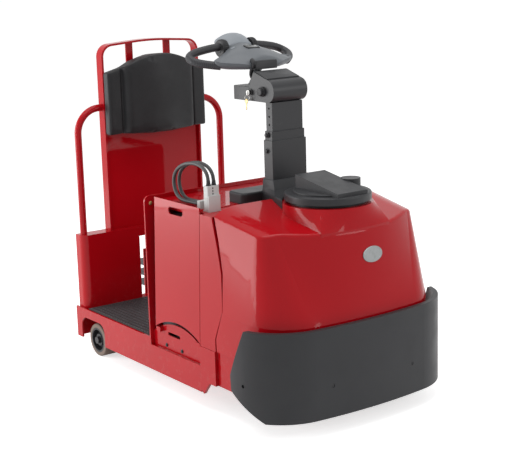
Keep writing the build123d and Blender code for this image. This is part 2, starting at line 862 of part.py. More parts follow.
# Bumper: thick bowed shell, cut back to a slanted cheek on each side, drilled for its bolts
with BuildPart() as bumper:
    with BuildSketch(Plane.XY.offset(bumper_bottom_z)):
        add(
            bowed_plan(
                nose_x, bumper_half, bow_radius, bumper_corner, bumper_cheek_x - cut_over, bumper_half
            )
        )
        add(
            bowed_plan(
                nose_x - bumper_wall, bumper_half - bumper_wall, bow_radius - bumper_wall,
                bumper_corner - bumper_wall, bumper_cheek_x - cut_over - plate, bumper_half - bumper_wall,
            ),
            mode=Mode.SUBTRACT,
        )
    extrude(amount=bumper_top_z - bumper_bottom_z)
    with BuildSketch(Plane.XZ):
        with BuildLine():
            Polyline(
                (bumper_top_rear_x, bumper_top_z),
                (bumper_cheek_x, bumper_cheek_z),
                (bumper_cheek_x + bumper_cheek_slope, bumper_cheek_low_z),
                (bumper_heel_x, bumper_bottom_z),
                (bumper_cheek_x - 2 * cut_over, bumper_bottom_z),
                (bumper_cheek_x - 2 * cut_over, bumper_top_z),
                close=True,
            )
        make_face()
    extrude(amount=2 * bumper_half, both=True, mode=Mode.SUBTRACT)
    with BuildSketch(Plane.YZ.offset(nose_x - 4 * bumper_wall)):
        with Locations((-front_bolt_y, front_bolt_z), (front_bolt_y, front_bolt_z)):
            Circle(bolt_radius)
    extrude(amount=5 * bumper_wall, mode=Mode.SUBTRACT)
    with BuildSketch(Plane.XZ):
        with Locations((side_bolt_x, side_bolt_z)):
            Circle(bolt_radius)
    extrude(amount=bumper_half, both=True, mode=Mode.SUBTRACT)
bumper.part.label = "bumper"
export_step(bumper.part, "parts/bumper.step")

# Spacers between front frame and bumper
with BuildPart() as bumper_spacers:
    with BuildSketch(Plane.YZ.offset(frame_nose_x - 4 * plate)):
        with Locations((-front_bolt_y, front_bolt_z), (front_bolt_y, front_bolt_z)):
            Circle(3 * bolt_radius)
            Circle(bolt_radius, mode=Mode.SUBTRACT)
    extrude(amount=6 * plate)
    with BuildSketch(Plane.XZ.offset(frame_half - 4 * plate)):
        with Locations((side_bolt_x, side_bolt_z)):
            Circle(3 * bolt_radius)
            Circle(bolt_radius, mode=Mode.SUBTRACT)
    extrude(amount=bumper_overhang + 6 * plate)
    with BuildSketch(Plane.XZ.offset(-frame_half + 4 * plate)):
        with Locations((side_bolt_x, side_bolt_z)):
            Circle(3 * bolt_radius)
            Circle(bolt_radius, mode=Mode.SUBTRACT)
    extrude(amount=-bumper_overhang - 6 * plate)
    with BuildSketch(Plane.XY.offset(leg_front_z)):
        add(
            bowed_plan(
                nose_x - bumper_wall, bumper_half - bumper_wall, bow_radius - bumper_wall,
                bumper_corner - bumper_wall, bay_front_x, bumper_half - bumper_wall,
            )
        )
    extrude(amount=frame_top_z - leg_front_z, mode=Mode.INTERSECT)
    with BuildSketch(Plane.XY.offset(leg_front_z)):
        add(bowed_plan(frame_nose_x, inner_half, bow_radius, bumper_corner, 0.0, inner_half))
    extrude(amount=frame_top_z - leg_front_z, mode=Mode.SUBTRACT)
bumper_spacers.part.label = "bumper_spacers"
export_step(bumper_spacers.part, "parts/bumper_spacers.step")

# Drive deck: plate over the drive unit on two side webs, with the fixed race below it
drive_deck_rear_x = bay_front_x + bay_wall_gap + sheet
drive_deck_half = frame_half - plate
motor_hole = motor_radius + 2 * run_gap
with BuildPart() as drive_deck:
    with BuildSketch(Plane.XY.offset(drive_deck_z)):
        add(
            bowed_plan(
                drive_x + drive_deck_reach, drive_deck_half, bow_radius, bumper_corner,
                drive_deck_rear_x, drive_deck_half,
            )
        )
        with Locations((drive_x, 0)):
            Circle(motor_hole, mode=Mode.SUBTRACT)
    extrude(amount=plate)
    with BuildSketch(Plane.XY.offset(leg_front_z)):
        for side in (-1, 1):
            with Locations(((drive_deck_rear_x + web_front_x) / 2, side * (frame_half - plate / 2))):
                Rectangle(web_front_x - drive_deck_rear_x, plate)
    extrude(amount=drive_deck_z + plate - leg_front_z)
    with BuildSketch(Plane.XY.offset(drive_deck_z - race_height)):
        with Locations((drive_x, 0)):
            Circle(race_radius)
            Circle(motor_hole, mode=Mode.SUBTRACT)
    extrude(amount=race_height)
drive_deck.part.label = "drive_deck"
export_step(drive_deck.part, "parts/drive_deck.step")


def hood_section(z, nose, half, bow, corner, rear_half, inset):
    """Level section of the hood, pulled in by the inset."""
    with BuildSketch(Plane.XY.offset(z)) as section:
        add(
            bowed_plan(
                nose - inset, half - inset, bow - inset, corner - min(inset, corner / 2),
                bay_front_x, rear_half - inset,
            )
        )
    return section.sketch


def hood_form(inset):
    """Closed form of the moulded hood: leaning bowed body, crowned sloping deck and round turret."""
    low = (hood_nose_low, hood_half, hood_bow_low, hood_corner_low, hood_half)
    ceiling = (
        hood_ceiling_x, hood_ceiling_half, hood_bow_high, hood_corner_high,
        half_width - lean_at(hood_ceiling_z) - hood_side_gap,
    )
    crown_z = hood_deck_rear_z + (hood_deck_rear_x - bay_front_x) * deck_slope - inset
    crown_half = hood_deck_flat + hood_deck_round
    crown_low_z = crown_z - hood_deck_round
    crown_mid = hood_deck_round * sin(radians(45.0))
    crown_mid_z = crown_low_z + hood_deck_round * cos(radians(45.0))
    foot_z = hood_brow_z - inset
    foot_x = hood_deck_front_x - inset
    foot_radius = turret_radius + turret_foot - inset
    top_radius = turret_radius - inset
    turn = atan2(turret_foot_y, hood_deck_front_x - drive_x)
    half_turn = (turn + radians(90.0)) / 2
    ridge = (drive_x + top_radius * cos(turn), top_radius * sin(turn))
    flank = (drive_x + top_radius * cos(half_turn), top_radius * sin(half_turn))
    with BuildPart() as form:
        add(hood_section(hood_bottom_z, *low, inset))
        extrude(amount=hood_shoulder_z - hood_bottom_z)
        add(hood_section(hood_shoulder_z, *low, inset))
        add(hood_section(hood_ceiling_z, *ceiling, inset))
        loft(ruled=True)
        with BuildSketch(Plane.YZ.offset(bay_front_x)):
            with BuildLine():
                Line((-hood_deck_flat, crown_z), (hood_deck_flat, crown_z))
                ThreePointArc(
                    (hood_deck_flat, crown_z),
                    (hood_deck_flat + crown_mid, crown_mid_z),
                    (crown_half, crown_low_z),
                )
                Polyline(
                    (crown_half, crown_low_z),
                    (crown_half, crown_z + hood_deck_round),
                    (-crown_half, crown_z + hood_deck_round),
                    (-crown_half, crown_low_z),
                )
                ThreePointArc(
                    (-crown_half, crown_low_z),
                    (-hood_deck_flat - crown_mid, crown_mid_z),
                    (-hood_deck_flat, crown_z),
                )
            make_face()
        extrude(amount=nose_x - bay_front_x, dir=(1, 0, -deck_slope), mode=Mode.SUBTRACT)
        deck_rim = (
            form.edges()
            .filter_by(lambda edge: edge.bounding_box().min.Z > motor_top_z - inset)
            .filter_by(lambda edge: edge.bounding_box().size.X > sheet)
            .filter_by(GeomType.LINE, reverse=True)
            .filter_by(lambda edge: edge.bounding_box().max.Z < crown_z - inset)
        )
        fillet(deck_rim, radius=hood_edge - inset)
        with BuildSketch(Plane.XY.offset(foot_z)) as foot:
            with BuildLine():
                ThreePointArc((foot_x, -turret_foot_y), (hood_brow_x - inset, 0), (foot_x, turret_foot_y))
                Line((foot_x, turret_foot_y), (drive_x, foot_radius))
                ThreePointArc((drive_x, foot_radius), (drive_x - foot_radius, 0), (drive_x, -foot_radius))
                Line((drive_x, -foot_radius), (foot_x, -turret_foot_y))
            make_face()
        extrude(amount=-turret_sunk)
        add(foot.sketch)
        with BuildSketch(Plane.XY.offset(turret_top_z - inset)):
            with BuildLine():
                ThreePointArc((ridge[0], -ridge[1]), (drive_x + top_radius, 0), ridge)
                ThreePointArc(ridge, flank, (drive_x, top_radius))
                ThreePointArc((drive_x, top_radius), (drive_x - top_radius, 0), (drive_x, -top_radius))
                ThreePointArc((drive_x, -top_radius), (flank[0], -flank[1]), (ridge[0], -ridge[1]))
            make_face()
        loft(ruled=True)
    return form.part


# Hood: hollow moulding cut along the seam, open below and towards the bay wall
with BuildPart() as hood:
    add(hood_form(0.0))
    add(hood_form(hood_wall), mode=Mode.SUBTRACT)
    with BuildSketch(Plane.XY.offset(hood_bottom_z)):
        for inset, how in ((hood_wall, Mode.ADD), (hood_flange, Mode.SUBTRACT)):
            add(
                bowed_plan(
                    hood_nose_low - inset, hood_half - inset, hood_bow_low - inset,
                    hood_corner_low - inset, bay_front_x, hood_half - inset,
                ),
                mode=how,
            )
    extrude(amount=hood_wall)
    with BuildSketch(Plane.XZ):
        with BuildLine():
            Polyline(
                (bay_front_x - cut_over, post_top_z + cut_over),
                (hood_deck_rear_x + hood_seam_gap, post_top_z + cut_over),
                *[(x + hood_seam_gap, z) for x, z in seam],
                (seam[-1][0] + hood_seam_gap, hood_bottom_z - cut_over),
                (bay_front_x - cut_over, hood_bottom_z - cut_over),
                close=True,
            )
        make_face()
    extrude(amount=bumper_half, both=True, mode=Mode.SUBTRACT)
hood.part.label = "hood"
export_step(hood.part, "parts/hood.step")

# Rear axle: two hangers under the floor, a cross tube and a stub for each wheel
hanger_outer_y = wheel_y - wheel_width / 2 - hanger_gap
with BuildPart() as rear_axle:
    with BuildSketch(Plane.XZ):
        with Locations((wheel_x, (wheel_radius + floor_z - plate) / 2)):
            Rectangle(2 * hanger_half, floor_z - plate - wheel_radius)
        with Locations((wheel_x, wheel_radius)):
            Circle(hanger_half)
    extrude(amount=hanger_outer_y, both=True)
    with BuildSketch(Plane.XZ):
        with Locations((wheel_x, wheel_radius)):
            Rectangle(4 * hanger_half, 2 * floor_z)
    extrude(amount=hanger_outer_y - hanger_plate, both=True, mode=Mode.SUBTRACT)
    with BuildSketch(Plane.XZ):
        with Locations((wheel_x, wheel_radius)):
            Circle(axle_tube_radius)
    extrude(amount=hanger_outer_y, both=True)
    with BuildSketch(Plane.XZ):
        with Locations((wheel_x, wheel_radius)):
            Circle(axle_radius)
    extrude(amount=wheel_y + wheel_width / 2 + axle_end, both=True)
rear_axle.part.label = "rear_axle"
export_step(rear_axle.part, "parts/rear_axle.step")

# Rear tyres: solid bands pressed on the hubs
rear_rim_radius = wheel_radius - wheel_tread
with BuildPart() as rear_tyre_right:
    with BuildSketch(Plane.XZ.offset(wheel_y - wheel_width / 2)):
        with Locations((wheel_x, wheel_radius)):
            Circle(wheel_radius)
    extrude(amount=wheel_width)
    fillet(rear_tyre_right.edges(), radius=tyre_shoulder)
    with BuildSketch(Plane.XZ.offset(wheel_y - wheel_width / 2)):
        with Locations((wheel_x, wheel_radius)):
            Circle(rear_rim_radius)
    extrude(amount=wheel_width, mode=Mode.SUBTRACT)
rear_tyre_right.part.label = "rear_tyre_right"
export_step(rear_tyre_right.part, "parts/rear_tyre_right.step")

with BuildPart() as rear_tyre_left:
    add(mirror(rear_tyre_right.part, about=Plane.XZ, mode=Mode.PRIVATE))
rear_tyre_left.part.label = "rear_tyre_left"
export_step(rear_tyre_left.part, "parts/rear_tyre_left.step")

# Rear hubs: rim, recessed web and boss, turned as one profile
with BuildPart() as rear_hub_right:
    with BuildSketch(Plane.XY.offset(wheel_radius)):
        with BuildLine():
            Polyline(
                (wheel_x + axle_radius + axle_play, -wheel_y - boss_half),
                (wheel_x + boss_radius, -wheel_y - boss_half),
                (wheel_x + boss_radius + hub_draft, -wheel_y - wheel_web / 2),
                (wheel_x + rear_rim_radius - rim_wall - hub_draft, -wheel_y - wheel_web / 2),
                (wheel_x + rear_rim_radius - rim_wall, -wheel_y - wheel_width / 2),
                (wheel_x + rear_rim_radius, -wheel_y - wheel_width / 2),
                (wheel_x + rear_rim_radius, -wheel_y + wheel_width / 2),
                (wheel_x + rear_rim_radius - rim_wall, -wheel_y + wheel_width / 2),
                (wheel_x + rear_rim_radius - rim_wall - hub_draft, -wheel_y + wheel_web / 2),
                (wheel_x + boss_radius + hub_draft, -wheel_y + wheel_web / 2),
                (wheel_x + boss_radius, -wheel_y + boss_half),
                (wheel_x + axle_radius + axle_play, -wheel_y + boss_half),
                close=True,
            )
        make_face()
    revolve(axis=Axis((wheel_x, 0, wheel_radius), (0, 1, 0)))
rear_hub_right.part.label = "rear_hub_right"
export_step(rear_hub_right.part, "parts/rear_hub_right.step")

with BuildPart() as rear_hub_left:
    add(mirror(rear_hub_right.part, about=Plane.XZ, mode=Mode.PRIVATE))
rear_hub_left.part.label = "rear_hub_left"
export_step(rear_hub_left.part, "parts/rear_hub_left.step")

# Drive yoke: turning ring, gear case beside the wheel and the stub axle
yoke_top_z = drive_deck_z - race_height - race_gap
case_near_y = drive_wheel_width / 2 + run_gap
with BuildPart() as drive_yoke:
    with BuildSketch(Plane.XY.offset(yoke_top_z - race_height)):
        with Locations((drive_x, 0)):
            Circle(race_radius)
    extrude(amount=race_height)
    with BuildSketch(Plane.XZ.offset(-case_near_y)):
        with Locations((drive_x, (drive_wheel_radius + yoke_top_z - race_height) / 2)):
            Rectangle(2 * case_half, yoke_top_z - race_height - drive_wheel_radius)
        with Locations((drive_x, drive_wheel_radius)):
            Circle(case_half)
    extrude(amount=-gear_case_width)
    fillet(
        drive_yoke.faces().sort_by(Axis.Y)[-1].edges().filter_by(GeomType.CIRCLE), radius=case_edge
    )
    with BuildSketch(Plane.XZ.offset(-case_near_y)):
        with Locations((drive_x, drive_wheel_radius)):
            Circle(drive_axle_radius)
    extrude(amount=case_near_y + drive_wheel_width / 2 + axle_end)
drive_yoke.part.label = "drive_yoke"
export_step(drive_yoke.part, "parts/drive_yoke.step")

# Upright drive motor on the yoke
with BuildPart() as drive_motor:
    with BuildSketch(Plane.XY.offset(yoke_top_z)):
        with Locations((drive_x, 0)):
            Circle(motor_radius)
    extrude(amount=motor_top_z - yoke_top_z)
    fillet(drive_motor.edges().sort_by(Axis.Z)[-1], radius=2 * run_gap)
drive_motor.part.label = "drive_motor"
export_step(drive_motor.part, "parts/drive_motor.step")

# Drive tyre and hub
drive_rim_radius = drive_wheel_radius - drive_tread
with BuildPart() as drive_tyre:
    with BuildSketch(Plane.XZ.offset(-drive_wheel_width / 2)):
        with Locations((drive_x, drive_wheel_radius)):
            Circle(drive_wheel_radius)
    extrude(amount=drive_wheel_width)
    fillet(drive_tyre.edges(), radius=2 * tyre_shoulder)
    with BuildSketch(Plane.XZ.offset(-drive_wheel_width / 2)):
        with Locations((drive_x, drive_wheel_radius)):
            Circle(drive_rim_radius)
    extrude(amount=drive_wheel_width, mode=Mode.SUBTRACT)
drive_tyre.part.label = "drive_tyre"
export_step(drive_tyre.part, "parts/drive_tyre.step")

with BuildPart() as drive_hub:
    with BuildSketch(Plane.XY.offset(drive_wheel_radius)):
        with BuildLine():
            Polyline(
                (drive_x + drive_axle_radius + axle_play, -drive_wheel_width / 2),
                (drive_x + drive_boss_radius, -drive_wheel_width / 2),
                (drive_x + drive_boss_radius + hub_draft, -drive_web / 2),
                (drive_x + drive_rim_radius - rim_wall - hub_draft, -drive_web / 2),
                (drive_x + drive_rim_radius - rim_wall, -drive_wheel_width / 2),
                (drive_x + drive_rim_radius, -drive_wheel_width / 2),
                (drive_x + drive_rim_radius, drive_wheel_width / 2),
                (drive_x + drive_rim_radius - rim_wall, drive_wheel_width / 2),
                (drive_x + drive_rim_radius - rim_wall - hub_draft, drive_web / 2),
                (drive_x + drive_boss_radius + hub_draft, drive_web / 2),
                (drive_x + drive_boss_radius, drive_wheel_width / 2),
                (drive_x + drive_axle_radius + axle_play, drive_wheel_width / 2),
                close=True,
            )
        make_face()
    revolve(axis=Axis((drive_x, 0, drive_wheel_radius), (0, 1, 0)))
drive_hub.part.label = "drive_hub"
export_step(drive_hub.part, "parts/drive_hub.step")

# Turntable cover: seat ring, round lid, wedge housing and round boss in one moulding
with BuildPart() as turntable_cover:
    with BuildSketch(Plane.XY.offset(turret_top_z)):
        with Locations((drive_x, 0)):
            Circle(cover_radius - 3 * turret_lip)
    extrude(amount=cover_rim_z - turret_top_z)
    with BuildSketch(Plane.XY.offset(cover_rim_z)):
        with Locations((drive_x, 0)):
            Circle(cover_radius)
    extrude(amount=cover_rim_height)
    fillet(turntable_cover.edges().sort_by(Axis.Z)[-1], radius=turret_lip)
    with BuildSketch(Plane.XY.offset(cover_rim_z + cover_rim_height)):
        with Locations((drive_x, 0)):
            Circle(cover_step_radius)
    extrude(amount=cover_step_height)
    fillet(turntable_cover.edges().sort_by(Axis.Z)[-1], radius=cover_step_edge)
    with BuildSketch(Plane.XZ.offset(-cover_box_half)):
        with BuildLine():
            Polyline(
                (cover_box_rear_x, cover_rim_z + cover_rim_height - turret_lip),
                (cover_box_rear_x, cover_box_rear_z),
                (cover_box_front_x, cover_box_front_z),
                (cover_box_front_x, cover_rim_z + cover_rim_height - turret_lip),
                close=True,
            )
        make_face()
    extrude(amount=2 * cover_box_half)
    with BuildSketch(Plane.XY.offset(cover_rim_z + cover_rim_height - turret_lip)):
        with Locations((cover_boss_x, cover_boss_y)):
            Circle(cover_boss_radius)
    extrude(amount=cover_boss_z - cover_rim_z - cover_rim_height + turret_lip)
turntable_cover.part.label = "turntable_cover"
export_step(turntable_cover.part, "parts/turntable_cover.step")

# Mast sleeve on the deck with a smaller collar on top
with BuildPart() as mast_sleeve:
    with BuildSketch(Plane.XY.offset(post_top_z)):
        with Locations((mast_mid_x, 0)):
            RectangleRounded(mast_depth, 2 * mast_half, mast_corner)
    extrude(amount=mast_sleeve_top_z - post_top_z)
    with BuildSketch(Plane.XY.offset(mast_sleeve_top_z)):
        with Locations((mast_mid_x, 0)):
            RectangleRounded(mast_depth - 2 * mast_step, 2 * (mast_half - mast_step), mast_corner)
    extrude(amount=mast_collar_top_z - mast_sleeve_top_z)
    with BuildSketch(Plane.XY.offset(post_top_z)):
        with Locations((mast_mid_x, 0)):
            Rectangle(column_depth, 2 * column_half)
    extrude(amount=mast_collar_top_z - post_top_z, mode=Mode.SUBTRACT)
mast_sleeve.part.label = "mast_sleeve"
export_step(mast_sleeve.part, "parts/mast_sleeve.step")

# Mast column: box tube that slides in the sleeve, with its row of height holes
with BuildPart() as mast_column:
    with BuildSketch(Plane.XY.offset(mast_sleeve_top_z - column_engaged)):
        with Locations((mast_mid_x, 0)):
            Rectangle(column_depth, 2 * column_half)
            Rectangle(column_depth - 2 * mast_wall, 2 * (column_half - mast_wall), mode=Mode.SUBTRACT)
    extrude(amount=head_bottom_z - mast_sleeve_top_z + column_engaged)
    with BuildSketch(Plane.XZ):
        with Locations((mast_mid_x, column_hole_z)):
            with GridLocations(0, column_hole_pitch, 1, column_hole_count):
                Circle(column_hole_radius)
    extrude(amount=2 * column_half, both=True, mode=Mode.SUBTRACT)
mast_column.part.label = "mast_column"
export_step(mast_column.part, "parts/mast_column.step")

# Mast cowl: apron over the deck up to the turret, with a flare round the sleeve's foot
cowl_front_radius = turret_radius + seat_gap
cowl_front_x = drive_x - sqrt(cowl_front_radius**2 - cowl_front_half**2)
cowl_widening = (cowl_front_half - cowl_rear_half) / (cowl_front_x - cowl_rear_x)
cowl_foot_front_half = cowl_rear_half + cowl_widening * (hood_deck_rear_x - cowl_rear_x)
cowl_flare_half = cowl_rear_half + cowl_widening * (cowl_flare_front_x - cowl_rear_x)
cowl_neck_half = mast_half + mast_step
with BuildPart() as mast_cowl:
    with BuildSketch(Plane.XY.offset(post_top_z)):
        with BuildLine():
            Polyline(
                (cowl_front_x, -cowl_front_half),
                (cowl_rear_x, -cowl_rear_half),
                (cowl_rear_x, cowl_rear_half),
                (cowl_front_x, cowl_front_half),
            )
            ThreePointArc(
                (cowl_front_x, cowl_front_half),
                (drive_x - cowl_front_radius, 0),
                (cowl_front_x, -cowl_front_half),
            )
        make_face()
    extrude(amount=cowl_apron_z - post_top_z)
    add(hood_form(0.0), mode=Mode.SUBTRACT)
    with BuildSketch(Plane.XY.offset(post_top_z)):
        with BuildLine():
            Polyline(
                (cowl_rear_x, -cowl_rear_half),
                (hood_deck_rear_x, -cowl_foot_front_half),
                (hood_deck_rear_x, cowl_foot_front_half),
                (cowl_rear_x, cowl_rear_half),
                close=True,
            )
        make_face()
    extrude(amount=cowl_apron_z - post_top_z)
    apron_rim = mast_cowl.edges().filter_by(GeomType.LINE).group_by(Axis.Z)[-1].sort_by(Axis.Y)
    fillet(apron_rim[:1] + apron_rim[-1:], radius=cowl_edge)
    for level_z, aft_x, aft_half, fore_x, fore_half in (
        (cowl_apron_z, cowl_rear_x, cowl_rear_half, cowl_flare_front_x, cowl_flare_half),
        (cowl_waist_z, cowl_waist_rear_x, cowl_waist_rear_half, cowl_waist_front_x, cowl_waist_front_half),
        (cowl_top_z, mast_rear_x - mast_step, cowl_neck_half, mast_front_x + mast_step, cowl_neck_half),
    ):
        with BuildSketch(Plane.XY.offset(level_z)):
            with BuildLine():
                Polyline(
                    (aft_x, -aft_half),
                    (fore_x, -fore_half),
                    (fore_x, fore_half),
                    (aft_x, aft_half),
                    close=True,
                )
            make_face()
    loft(ruled=True)
    add(mast_sleeve.part, mode=Mode.SUBTRACT)
    with BuildSketch(Plane.XY.offset(post_top_z)):
        with Locations((mast_mid_x, 0)):
            Rectangle(column_depth, 2 * column_half)
    extrude(amount=mast_collar_top_z - post_top_z, mode=Mode.SUBTRACT)
mast_cowl.part.label = "mast_cowl"
export_step(mast_cowl.part, "parts/mast_cowl.step")

# Mast base: rounded pod behind the mast, over the edge of the battery cover
base_bottom_z = cover_z + seat_gap
with BuildPart() as mast_base:
    with BuildSketch(Plane.XY.offset(base_bottom_z)):
        with Locations(((base_rear_x + cowl_rear_x) / 2, 0)):
            RectangleRounded(cowl_rear_x - base_rear_x, 2 * base_half, base_corner)
    extrude(amount=base_top_z - base_bottom_z)
    fillet(mast_base.edges().group_by(Axis.Z)[-1], radius=base_edge)
mast_base.part.label = "mast_base"
export_step(mast_base.part, "parts/mast_base.step")

# Steering head: box with a rolled front edge and a lower block that carries the handle
with BuildPart() as steering_head:
    with BuildSketch(Plane.XZ.offset(-head_half)):
        with BuildLine():
            Polyline(
                (head_roll_x, head_bottom_z),
                (head_rear_x, head_bottom_z),
                (head_rear_x, head_block_top_z),
                (head_top_rear_x, head_top_z),
                (head_roll_x + head_brow, head_roll_z + head_roll_radius - head_brow_drop),
            )
            ThreePointArc(
                (head_roll_x + head_brow, head_roll_z + head_roll_radius - head_brow_drop),
                (head_roll_x + head_roll_radius, head_roll_z),
                (head_roll_x, head_bottom_z),
            )
        make_face()
    extrude(amount=2 * head_half)
    with BuildSketch(Plane.XY.offset(head_bottom_z)):
        with Locations(((head_block_rear_x + head_rear_x) / 2 + plate, 0)):
            Rectangle(head_rear_x - head_block_rear_x + 2 * plate, 2 * head_block_half)
    extrude(amount=head_block_top_z - head_bottom_z)
    fillet(
        steering_head.edges().filter_by(Axis.Z).sort_by(Axis.X)[:2], radius=head_block_corner
    )
    with BuildSketch(Plane.XY.offset(head_block_top_z)):
        with Locations((handle_axis_x, 0)):
            Circle(neck_radius + mast_step)
    extrude(amount=neck_bush)
steering_head.part.label = "steering_head"
export_step(steering_head.part, "parts/steering_head.step")

# Knob and key switch on the right side of the head
with BuildPart() as head_knob:
    with BuildSketch(Plane.XZ.offset(head_half)):
        with Locations((head_knob_x, head_knob_z)):
            Circle(head_knob_radius)
    extrude(amount=head_knob_depth)
    fillet(head_knob.edges().sort_by(Axis.Y)[0], radius=mast_step)
head_knob.part.label = "head_knob"
export_step(head_knob.part, "parts/head_knob.step")

with BuildPart() as key_switch:
    with BuildSketch(Plane.XZ.offset(head_block_half)):
        with Locations((key_x, key_z)):
            Circle(key_radius)
    extrude(amount=key_depth)
    with BuildSketch(Plane.XZ.offset(head_block_half + key_depth)):
        with Locations((key_x, key_z)):
            SlotOverall(2 * key_radius - mast_step, key_bow, rotation=90)
    extrude(amount=key_depth)
key_switch.part.label = "key_switch"
export_step(key_switch.part, "parts/key_switch.step")

# Steering handle: shield that widens towards the front, on a neck and hub
neck_bottom_z = head_block_top_z + neck_bush + neck_gap
with BuildPart() as handle_shield:
    with BuildSketch(Plane.YZ.offset(handle_rear_x)):
        with Locations((0, handle_low_z + handle_rise + handle_rear_thick / 2)):
            RectangleRounded(2 * handle_rear_half, handle_rear_thick, handle_corner)
    with BuildSketch(Plane.YZ.offset(handle_waist_x)):
        with Locations((0, handle_low_z + handle_waist_rise + handle_waist_thick / 2)):
            RectangleRounded(2 * handle_waist_half, handle_waist_thick, handle_corner)
    with BuildSketch(Plane.YZ.offset(handle_front_x)):
        with Locations((0, handle_low_z + handle_front_thick / 2)):
            RectangleRounded(2 * handle_front_half, handle_front_thick, handle_corner)
    loft()
    with BuildSketch(Plane.XY.offset(handle_low_z)):
        with Locations(((handle_front_x + hub_front_x) / 2 - handle_corner, 0)):
            RectangleRounded(
                hub_front_x - handle_front_x + 2 * handle_corner, 2 * hub_half, handle_corner
            )
    extrude(amount=handle_front_thick)
    with BuildSketch(Plane.XY.offset(neck_bottom_z)):
        with Locations((handle_axis_x, 0)):
            Circle(neck_radius)
    extrude(amount=handle_low_z - neck_bottom_z)
handle_shield.part.label = "handle_shield"
export_step(handle_shield.part, "parts/handle_shield.step")

# Rounded cap over the high end of the shield
with BuildPart() as handle_cap:
    with BuildSketch(Plane.XZ.offset(-handle_cap_half)):
        with BuildLine():
            cap_top = handle_low_z + handle_rise + handle_rear_thick + handle_cap_over
            FilletPolyline(
                (handle_rear_x + handle_cap_length, cap_top - handle_cap_drop),
                (handle_rear_x, cap_top),
                (handle_rear_x - handle_cap_over, cap_top - handle_cap_drop),
                (handle_rear_x - handle_cap_over, handle_low_z + handle_rise),
                (handle_rear_x + handle_cap_length, handle_low_z + handle_rise),
                radius=handle_cap_round,
            )
            Line(
                (handle_rear_x + handle_cap_length, handle_low_z + handle_rise),
                (handle_rear_x + handle_cap_length, cap_top - handle_cap_drop),
            )
        make_face()
    extrude(amount=2 * handle_cap_half)
    add(handle_shield.part, mode=Mode.SUBTRACT)
handle_cap.part.label = "handle_cap"
export_step(handle_cap.part, "parts/handle_cap.step")

# Thumb wheels beside the cap
with BuildPart() as thumb_wheels:
    with BuildSketch(Plane.XZ.offset(handle_rear_half + thumb_gap)):
        with Locations((thumb_x, thumb_z)):
            Circle(thumb_radius)
    extrude(amount=thumb_width)
    fillet(thumb_wheels.edges(), radius=mast_step)
    add(handle_shield.part, mode=Mode.SUBTRACT)
    mirror(about=Plane.XZ)
thumb_wheels.part.label = "thumb_wheels"
export_step(thumb_wheels.part, "parts/thumb_wheels.step")

# Looped hand grips from the thumb wheels round to the front edge
thumb_outer_y = handle_rear_half + thumb_gap + thumb_width
with BuildPart() as handle_grip_right:
    with BuildLine() as grip_line:
        FilletPolyline(
            (grip_start_x, grip_sunk - thumb_outer_y, grip_start_z),
            (grip_upper_x, -grip_upper_y, grip_upper_z),
            (grip_tip_x, -grip_half + grip_radius, grip_tip_z),
            (grip_end_x, grip_root - handle_front_half, grip_end_z),
            radius=grip_bend,
        )
    with BuildSketch(Plane(origin=grip_line.line @ 0, z_dir=grip_line.line % 0)):
        Circle(grip_radius)
    sweep(path=grip_line.line)
    add(handle_shield.part, mode=Mode.SUBTRACT)
    add(thumb_wheels.part, mode=Mode.SUBTRACT)
handle_grip_right.part.label = "handle_grip_right"
export_step(handle_grip_right.part, "parts/handle_grip_right.step")

with BuildPart() as handle_grip_left:
    add(mirror(handle_grip_right.part, about=Plane.XZ, mode=Mode.PRIVATE))
handle_grip_left.part.label = "handle_grip_left"
export_step(handle_grip_left.part, "parts/handle_grip_left.step")

# Tow coupler: three round jaws on the rear plate, drilled for the pin
with BuildPart() as tow_coupler:
    for level in range(jaw_count):
        with BuildSketch(Plane.XY.offset(jaw_low_z + level * jaw_step)):
            with Locations((pin_x, 0)):
                Circle(jaw_radius)
            with Locations(((pin_x + rear_x) / 2, 0)):
                Rectangle(rear_x - pin_x, 2 * jaw_radius)
            with Locations((pin_x, 0)):
                Circle(pin_radius + pin_play, mode=Mode.SUBTRACT)
        extrude(amount=jaw_thickness)
tow_coupler.part.label = "tow_coupler"
export_step(tow_coupler.part, "parts/tow_coupler.step")

# Coupler pin with a knob to lift it by
jaw_top_z = jaw_low_z + (jaw_count - 1) * jaw_step + jaw_thickness
with BuildPart() as coupler_pin:
    with BuildSketch(Plane.XY.offset(jaw_low_z - pin_tail)):
        with Locations((pin_x, 0)):
            Circle(pin_radius)
    extrude(amount=jaw_top_z + pin_collar - jaw_low_z + pin_tail)
    with BuildSketch(Plane.XY.offset(jaw_top_z + neck_gap)):
        with Locations((pin_x, 0)):
            Circle(pin_radius + pin_collar)
    extrude(amount=pin_head)
    fillet(coupler_pin.edges().group_by(Axis.Z)[-1], radius=pin_collar)
coupler_pin.part.label = "coupler_pin"
export_step(coupler_pin.part, "parts/coupler_pin.step")

# Bracket for the battery connector, and the gland that holds the low end of its leads
with BuildPart() as connector_mounts:
    with BuildSketch(Plane.XY.offset(post_top_z)):
        with Locations((connector_x, connector_y)):
            Rectangle(connector_thickness + 2 * sheet, connector_length)
    extrude(amount=sheet)
    with BuildSketch(Plane.YZ.offset(connector_x + connector_thickness / 2)):
        with Locations((connector_y, post_top_z + connector_height / 3)):
            Rectangle(connector_length, 2 * connector_height / 3)
    extrude(amount=sheet)
    with BuildSketch(Plane.XY.offset(cover_z)):
        with Locations((gland_x + gland_length / 2, connector_y)):
            RectangleRounded(gland_length, connector_length, mast_step)
    extrude(amount=gland_height)
connector_mounts.part.label = "connector_mounts"
export_step(connector_mounts.part, "parts/connector_mounts.step")

